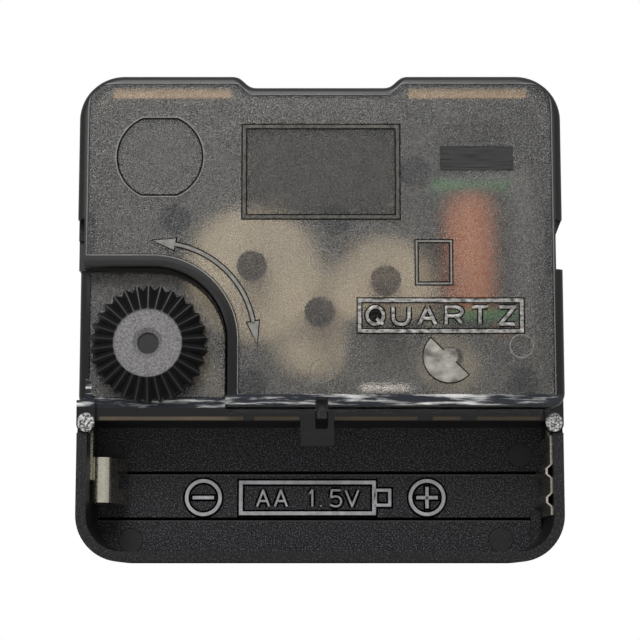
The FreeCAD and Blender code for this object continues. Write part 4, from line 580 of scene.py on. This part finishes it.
def frame_line(x0, x1, z0, z1, width):
    """Draws a rectangle's line of that width inside those edges."""
    def draw(grow):
        bm = bmesh.new()
        hollow(bm, plate(bm, x0 - grow, x1 + grow, z0 - grow, z1 + grow), width + 2 * grow)
        return bm
    return draw


def ring_line(x, z, radius, width):
    """Draws a ring's line of that width inside that radius."""
    def draw(grow):
        bm = bmesh.new()
        bmesh.ops.create_circle(bm, cap_ends=True, segments=72, radius=radius + grow,
                                matrix=Matrix.Translation((x, z, 0)))
        hollow(bm, bm.faces[:], width + 2 * grow)
        return bm
    return draw


def crossed(x, turns, grow):
    """Draws the bars of a pole mark, one for each turn in degrees."""
    bm = bmesh.new()
    for turn in turns:
        bar = bmesh.ops.create_grid(bm, x_segments=1, y_segments=1, size=0.5)["verts"]
        bmesh.ops.scale(bm, vec=(POLE_BAR[0] + 2 * grow, POLE_BAR[1] + 2 * grow, 1), verts=bar)
        bmesh.ops.rotate(bm, verts=bar, matrix=Matrix.Rotation(math.radians(turn), 3, "Z"))
        bmesh.ops.translate(bm, vec=(x, POLE_Z, 0), verts=bar)
    return bm


def half_disc(grow):
    """Draws the turned spot's half disc."""
    bm = bmesh.new()
    bmesh.ops.create_circle(bm, cap_ends=True, segments=72, radius=3.0 + grow)
    bmesh.ops.bisect_plane(bm, geom=bm.verts[:] + bm.edges[:] + bm.faces[:], plane_co=(0, grow, 0),
                           plane_no=(0, 1, 0), clear_outer=True)
    bmesh.ops.rotate(bm, verts=bm.verts[:], matrix=Matrix.Rotation(math.radians(-44.5), 3, "Z"))
    bmesh.ops.translate(bm, vec=(*SPOT_CENTRE, 0), verts=bm.verts[:])
    return bm


def arrow_line(grow):
    """Draws a band turned about the knob's well, with a barbed head at each end."""
    bm = bmesh.new()
    ends = [bm.verts.new((ARROW_RADIUS + side * (ARROW_HALF_BAND + grow), 0, 0)) for side in (-1, 1)]
    bm.edges.new(ends)
    bmesh.ops.rotate(bm, verts=ends, matrix=Matrix.Rotation(math.radians(9), 3, "Z"))
    bmesh.ops.spin(bm, geom=bm.verts[:] + bm.edges[:], cent=(0, 0, 0), axis=(0, 0, 1), angle=math.radians(71),
                   steps=40)
    for turn, way in ((10.3, -1), (80.0, 1)):
        head = bmesh.ops.create_circle(bm, cap_ends=True, segments=3, radius=1.0)["verts"]
        bmesh.ops.rotate(bm, verts=head, matrix=Matrix.Rotation(math.radians(0 if way > 0 else 180), 3, "Z"))
        base = min(v.co.y * way for v in head)
        bmesh.ops.translate(bm, vec=(0, -base * way, 0), verts=head)
        shape = Matrix.Diagonal((0.8 + 1.3 * grow, 1.75 + 2.2 * grow, 1, 1))
        bmesh.ops.transform(bm, matrix=shape, verts=head)
        bmesh.ops.translate(bm, vec=(ARROW_RADIUS, -grow * way, 0), verts=head)
        bmesh.ops.rotate(bm, verts=head, matrix=Matrix.Rotation(math.radians(turn), 3, "Z"))
    bmesh.ops.translate(bm, vec=(*ARROW_CENTRE, 0), verts=bm.verts[:])
    return bm


# Bare medallion with two flats: a fine line of painted shade with a faint painted highlight outside it
for name, radius, width, material in (("medallion_line", 5.05, 0.19, relief_painted_shade),
                                      ("medallion_glint", 5.2, 0.13, arrow_painted_sheen)):
    bm = bmesh.new()
    bmesh.ops.create_circle(bm, cap_ends=True, segments=96, radius=radius,
                            matrix=Matrix.Translation((*MEDALLION, 0)))
    for way in (1, -1):
        level = MEDALLION[1] + way * (radius - MEDALLION_FLAT)
        bmesh.ops.bisect_plane(bm, geom=bm.verts[:] + bm.edges[:] + bm.faces[:], plane_co=(0, level, 0),
                               plane_no=(0, way, 0), clear_outer=True)
        bmesh.ops.contextual_create(bm, geom=[e for e in bm.edges if e.is_boundary])
    hollow(bm, bm.faces[:], width)
    lift(bm, 0.05, 0.0)
    set_on(bm, COVER_FACE - 0.004, False)
    piece(name, "case", bm, material)

# Bare panel: its bed a shade darker, inside a frame of dull painted sheen with edges of painted shade
bm = bmesh.new()
plate(bm, -8.6, 8.85, 11.2, 21.55)
lift(bm, 0.01, 0.0)
set_on(bm, COVER_FACE - 0.002, False)
piece("panel_bed", "case", bm, etched_bed)
relief("panel_frame", COVER_FACE - 0.003, 0.07, frame_painted_sheen, relief_painted_shade,
       frame_line(-9.0, 9.22, 10.82, 21.93, 0.4))

# Word panel: its bed, its frame and its word, in painted highlight over painted shade
bm = bmesh.new()
plate(bm, 4.8, 22.96, -2.05, 1.0)
lift(bm, 0.01, 0.0)
set_on(bm, COVER_FACE - 0.002, False)
piece("word_bed", "case", bm, etched_bed)
relief("word_frame", COVER_FACE - 0.003, 0.09, relief_painted_highlight, relief_painted_shade,
       frame_line(4.34, 23.42, -2.52, 1.46, 0.42))
WORD = (("Q", 5.2, 7.5), ("U", 8.2, 10.45), ("A", 11.2, 13.5), ("R", 14.3, 16.6), ("T", 17.3, 19.5),
        ("Z", 20.45, 22.65))
relief("word_letters", COVER_FACE - 0.003, 0.09, relief_painted_highlight, relief_painted_shade,
       lambda grow: lettering(WORD, -1.72, 2.42, 0.42, grow))

# Blank, scraped over lengthwise, its slopes in painted shade
bm = bmesh.new()
plate(bm, 13.97, 22.43, 16.51, 19.42)
lift(bm, 0.04, 0.03)
set_on(bm, COVER_FACE - 0.002)
piece("scraped_blank", "case", bm, scraped, relief_painted_shade)

# Small bare window, with a thin line of painted sheen round it
bm = bmesh.new()
plate(bm, 11.1, 15.21, 3.16, 8.23)
lift(bm, 0.01, 0.0)
set_on(bm, COVER_FACE - 0.002, False)
piece("window_bed", "case", bm, etched_bed)
relief("window_frame", COVER_FACE - 0.003, 0.06, arrow_painted_sheen, relief_painted_shade,
       frame_line(11.05, 15.26, 3.1, 8.28, 0.22))

# Turned spot over the rotor, its brightness a painted reflection: a half disc and a small boss with a cone on
# it
relief("spot_half_disc", COVER_FACE - 0.003, 0.07, spot_painted_reflection, relief_painted_shade, half_disc)
bm = bmesh.new()
bmesh.ops.create_circle(bm, cap_ends=True, segments=48, radius=0.98,
                        matrix=Matrix.Translation((*SPOT_CENTRE, 0)))
lift(bm, 0.09, 0.1)
bmesh.ops.create_cone(bm, cap_ends=True, segments=24, radius1=0.3, radius2=0.05, depth=0.08,
                      matrix=Matrix.Translation((14.75, -5.3, 0.12)))
set_on(bm, COVER_FACE - 0.002, False)
piece("spot_boss", "case", bm, spot_painted_reflection)

# Double arrow round the setting knob, in painted sheen over painted shade
relief("setting_arrow", COVER_FACE - 0.003, 0.06, arrow_painted_sheen, relief_painted_shade, arrow_line)

# Faint rings left in the back by the tool's pins, drawn in painted sheen
for number, (x, z) in enumerate(((0.27, 5.85), (0.19, -6.93), (23.14, -4.04))):
    bm = bmesh.new()
    bmesh.ops.create_circle(bm, cap_ends=True, segments=48, radius=1.4, matrix=Matrix.Translation((x, z, 0)))
    hollow(bm, bm.faces[:], 0.12)
    lift(bm, 0.02, 0.0)
    set_on(bm, COVER_FACE - 0.002, False)
    piece(f"pin_ring_{number}", "case", bm, arrow_painted_sheen)

# Scored flats of the ejector pins in the bay
for number, (x, z) in enumerate(((-25.1, -15.6), (24.2, -15.6), (-22.8, -25.9), (21.8, -25.8))):
    bm = bmesh.new()
    bmesh.ops.create_circle(bm, cap_ends=True, segments=48, radius=1.5, matrix=Matrix.Translation((x, z, 0)))
    lift(bm, 0.05, 0.07)
    set_on(bm, BAY_FLOOR - 0.002)
    piece(f"ejector_flat_{number}", "case", bm, ejector_flat, groove_shadow)

# Two narrow grooves along the bay floor, each with a lit lower edge
for number, (x0, x1, z) in enumerate(((-23.6, 26.8, -17.76), (-26.8, 25.4, -23.3))):
    for name, low, high, material in (("groove", z - 0.19, z + 0.19, groove_shadow),
                                      ("glint", z - 0.3, z - 0.19, stroke_dim)):
        bm = bmesh.new()
        plate(bm, x0, x1, low, high)
        lift(bm, 0.012, 0.0)
        set_on(bm, BAY_FLOOR, False)
        piece(f"floor_{name}_{number}", "case", bm, material)

# Two pins of the case that stand up toward the lid, dark under it
for number, (x, z, radius) in enumerate(((14.6, 24.0, 1.15), (26.1, 23.4, 0.8))):
    bm = bmesh.new()
    bmesh.ops.create_cone(bm, cap_ends=True, segments=48, radius1=radius, radius2=radius - 0.1, depth=12.3,
                          matrix=Matrix.Translation((x, z, 6.15)))
    set_on(bm, BAY_FLOOR, False)
    piece(f"lid_pin_{number}", "case", bm, plate_filled)

# Thin rib inside the lid along each lobe of its top, tan where light comes through it
for number, (x0, x1) in enumerate(((-24.2, -10.4), (10.4, 24.2))):
    bm = bmesh.new()
    plate(bm, x0, x1, 25.35, 26.5)
    lift(bm, 0.3, 0.0)
    set_on(bm, -13.95, False)
    piece(f"top_rib_{number}", "case", bm, tan_rib)

# Torn ends of the lid's ears, rough, with painted sparkle
for name, x in (("left", -27.0), ("right", 27.0)):
    bm = bmesh.new()
    bmesh.ops.create_icosphere(bm, subdivisions=3, radius=1.0)
    bmesh.ops.scale(bm, vec=(1.02, 1.12, 0.32), verts=bm.verts[:])
    bmesh.ops.translate(bm, vec=(x, -12.62, 0), verts=bm.verts[:])
    for face in bm.faces:
        face.smooth = True
    set_on(bm, -13.25, False)
    piece(f"torn_ear_{name}", "case", bm, torn)

# Thin lip of the lid over the bay's wall, in five lengths
for number, (x0, x1) in enumerate(((-25.6, -8.9), (-7.6, -2.4), (1.7, 11.3), (13.1, 16.3), (18.2, 25.6))):
    bm = bmesh.new()
    plate(bm, x0, x1, -12.28, -11.86)
    lift(bm, 0.03, 0.0)
    set_on(bm, -12.0, False)
    piece(f"lid_lip_{number}", "case", bm, tan_lip)

# Bay: the cell's outline with its end, its size and voltage, and the two poles, in painted highlight with
# painted shade on their slopes
CELL = (("A", -7.75, -6.0), ("A", -5.6, -3.85), ("1", -1.4, -0.55), (".", -0.1, 0.35), ("5", 1.0, 2.75),
        ("V", 2.95, 4.8))
for name, drawn in (("cell_outline", frame_line(-9.8, 6.76, -22.86, -18.68, 0.46)),
                    ("cell_end", frame_line(6.5, 8.62, -21.84, -19.66, 0.38)),
                    ("cell_letters", lambda grow: lettering(CELL, -21.95, 2.25, 0.3, grow)),
                    ("minus_ring", ring_line(MINUS_X, POLE_Z, 2.24, 0.44)),
                    ("plus_ring", ring_line(PLUS_X, POLE_Z, 2.24, 0.44)),
                    ("minus_bar", lambda grow: crossed(MINUS_X, (0,), grow)),
                    ("plus_bars", lambda grow: crossed(PLUS_X, (0, 90), grow))):
    relief(name, BAY_FLOOR - 0.014, 0.14, stroke_painted_highlight, stroke_edge, drawn, 0.22)


# Threaded bush

# Cuts one turn of thread as a helix, joins its turns, trims both ends square and closes it onto a plain bore
# and flange
bm = bmesh.new()
root = BUSH_RADIUS - THREAD_DEPTH
profile = ((BUSH_RADIUS, 0.0), (BUSH_RADIUS, 0.15), (root, 0.45), (root, 0.55), (BUSH_RADIUS, THREAD_PITCH))
chain = [bm.verts.new((radius, THREAD_START + rise, 0)) for radius, rise in profile]
for a, b in zip(chain, chain[1:]):
    bm.edges.new((a, b))
bmesh.ops.translate(bm, vec=(0, -2 * THREAD_PITCH, 0), verts=bm.verts[:])
bmesh.ops.spin(bm, geom=bm.verts[:] + bm.edges[:], cent=(0, 0, 0), axis=(0, 1, 0),
               angle=math.radians(360 * THREAD_TURNS), steps=THREAD_TURNS * TURN_STEPS,
               dvec=(0, THREAD_PITCH / TURN_STEPS, 0))
bmesh.ops.remove_doubles(bm, verts=bm.verts[:], dist=0.002)
for level, way in ((THREAD_FOOT, -1), (THREAD_HEAD, 1)):
    bmesh.ops.bisect_plane(bm, geom=bm.verts[:] + bm.edges[:] + bm.faces[:], plane_co=(0, level, 0),
                           plane_no=(0, way, 0), clear_outer=True)
ends = [e for e in bm.edges if e.is_boundary]
foot_rings = ((NECK_RADIUS, THREAD_FOOT), (NECK_RADIUS, FLANGE_TOP), (FLANGE_RADIUS, FLANGE_TOP),
              (FLANGE_RADIUS, FLANGE_FOOT), (BUSH_BORE, FLANGE_FOOT))
head_rings = ((3.45, BUSH_HEAD), (BUSH_BORE + 0.15, BUSH_HEAD), (BUSH_BORE, THREAD_HEAD))
for level, rings in ((THREAD_FOOT, foot_rings), (THREAD_HEAD, head_rings)):
    edge = [e for e in ends if abs(e.verts[0].co.y - level) < 0.01]
    for radius, y in rings:
        loop = bmesh.ops.create_circle(bm, segments=96, radius=radius,
                                       matrix=Matrix.Translation((0, y, 0)) @ TO_BACK)
        new = list({e for v in loop["verts"] for e in v.link_edges})
        bmesh.ops.bridge_loops(bm, edges=edge + new)
        edge = new
    if level == THREAD_FOOT:
        last = edge
bmesh.ops.bridge_loops(bm, edges=edge + last)
bmesh.ops.recalc_face_normals(bm, faces=bm.faces[:])
bmesh.ops.scale(bm, vec=(MM, MM, MM), verts=bm.verts[:])
bush = piece("threaded_bush_cut", "case", bm, brass_turned)
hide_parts("threaded_bush")


# Floor, light and camera

# Pale seamless paper, matt. Seen from below it is open, because the photograph's eye is a little under it
paper, tree, shader, place = finish("floor_matt_paper", "#e9e9e7", 0.85)
fibre = add(tree, "TexNoise", {"Vector": place, "Scale": 1 / (1.2 * MM), "Detail": 3.0})
bump = add(tree, "Bump", {"Height": fibre, "Distance": 0.02 * MM})
tree.links.new(bump.outputs[0], shader.inputs["Normal"])
under = add(tree, "NewGeometry").outputs["Backfacing"]
clear = add(tree, "BsdfTransparent")
mix = add(tree, "MixShader", {0: under, 1: shader, 2: clear})
out = [n for n in tree.nodes if n.type == "OUTPUT_MATERIAL"][0]
tree.links.new(mix.outputs[0], out.inputs["Surface"])
bm = bmesh.new()
bmesh.ops.create_grid(bm, x_segments=1, y_segments=1, size=2.0)
bmesh.ops.translate(bm, vec=(0, 0, cad_box[0].z - 0.00003), verts=bm.verts[:])
mesh = bpy.data.meshes.new("floor")
bm.to_mesh(mesh)
bm.free()
floor = bpy.data.objects.new("floor", mesh)
mesh.materials.append(paper)
bpy.context.scene.collection.objects.link(floor)

world = bpy.data.worlds.new("studio")
world.use_nodes = True
bpy.context.scene.world = world
tree = world.node_tree
tree.nodes.clear()
seen = add(tree, "LightPath")
bright = add(tree, "Math", {0: seen.outputs["Is Camera Ray"], 1: seen.outputs["Is Transmission Ray"]},
             operation="MAXIMUM")
strength = add(tree, "MapRange", {"Value": bright, "To Min": 0.48, "To Max": 1.0})
sky = add(tree, "Background", {"Color": (1, 1, 1, 1), "Strength": strength})
add(tree, "OutputWorld", {"Surface": sky})


def lamp_at(name, place, size, power):
    """A soft square lamp in metres that looks at the object."""
    light = bpy.data.lights.new(name, "AREA")
    light.shape = "SQUARE"
    light.size = size
    light.energy = power
    made = bpy.data.objects.new(name, light)
    made.location = place
    made.rotation_euler = (Vector((0, -0.008, 0)) - Vector(place)).to_track_quat("-Z", "Y").to_euler()
    bpy.context.scene.collection.objects.link(made)


lamp_at("front_softbox", (-0.06, -0.42, 0.3), 0.26, 1.3)
lamp_at("top_softbox", (0.1, -0.15, 0.5), 0.5, 0.2)
lamp_at("back_softbox", (-0.1, 0.45, 0.25), 0.3, 0.6)

camera = bpy.data.cameras.new("photo_camera")
camera.lens = 107.66
camera.sensor_width = 36.0
camera.clip_start = 0.01
eye = bpy.data.objects.new("photo_camera", camera)
eye.location = (0.0, -0.23341, -0.03127)
eye.rotation_euler = (math.radians(97.9), 0, 0)
bpy.context.scene.collection.objects.link(eye)
bpy.context.scene.camera = eye
bpy.context.scene.view_settings.view_transform = "Standard"
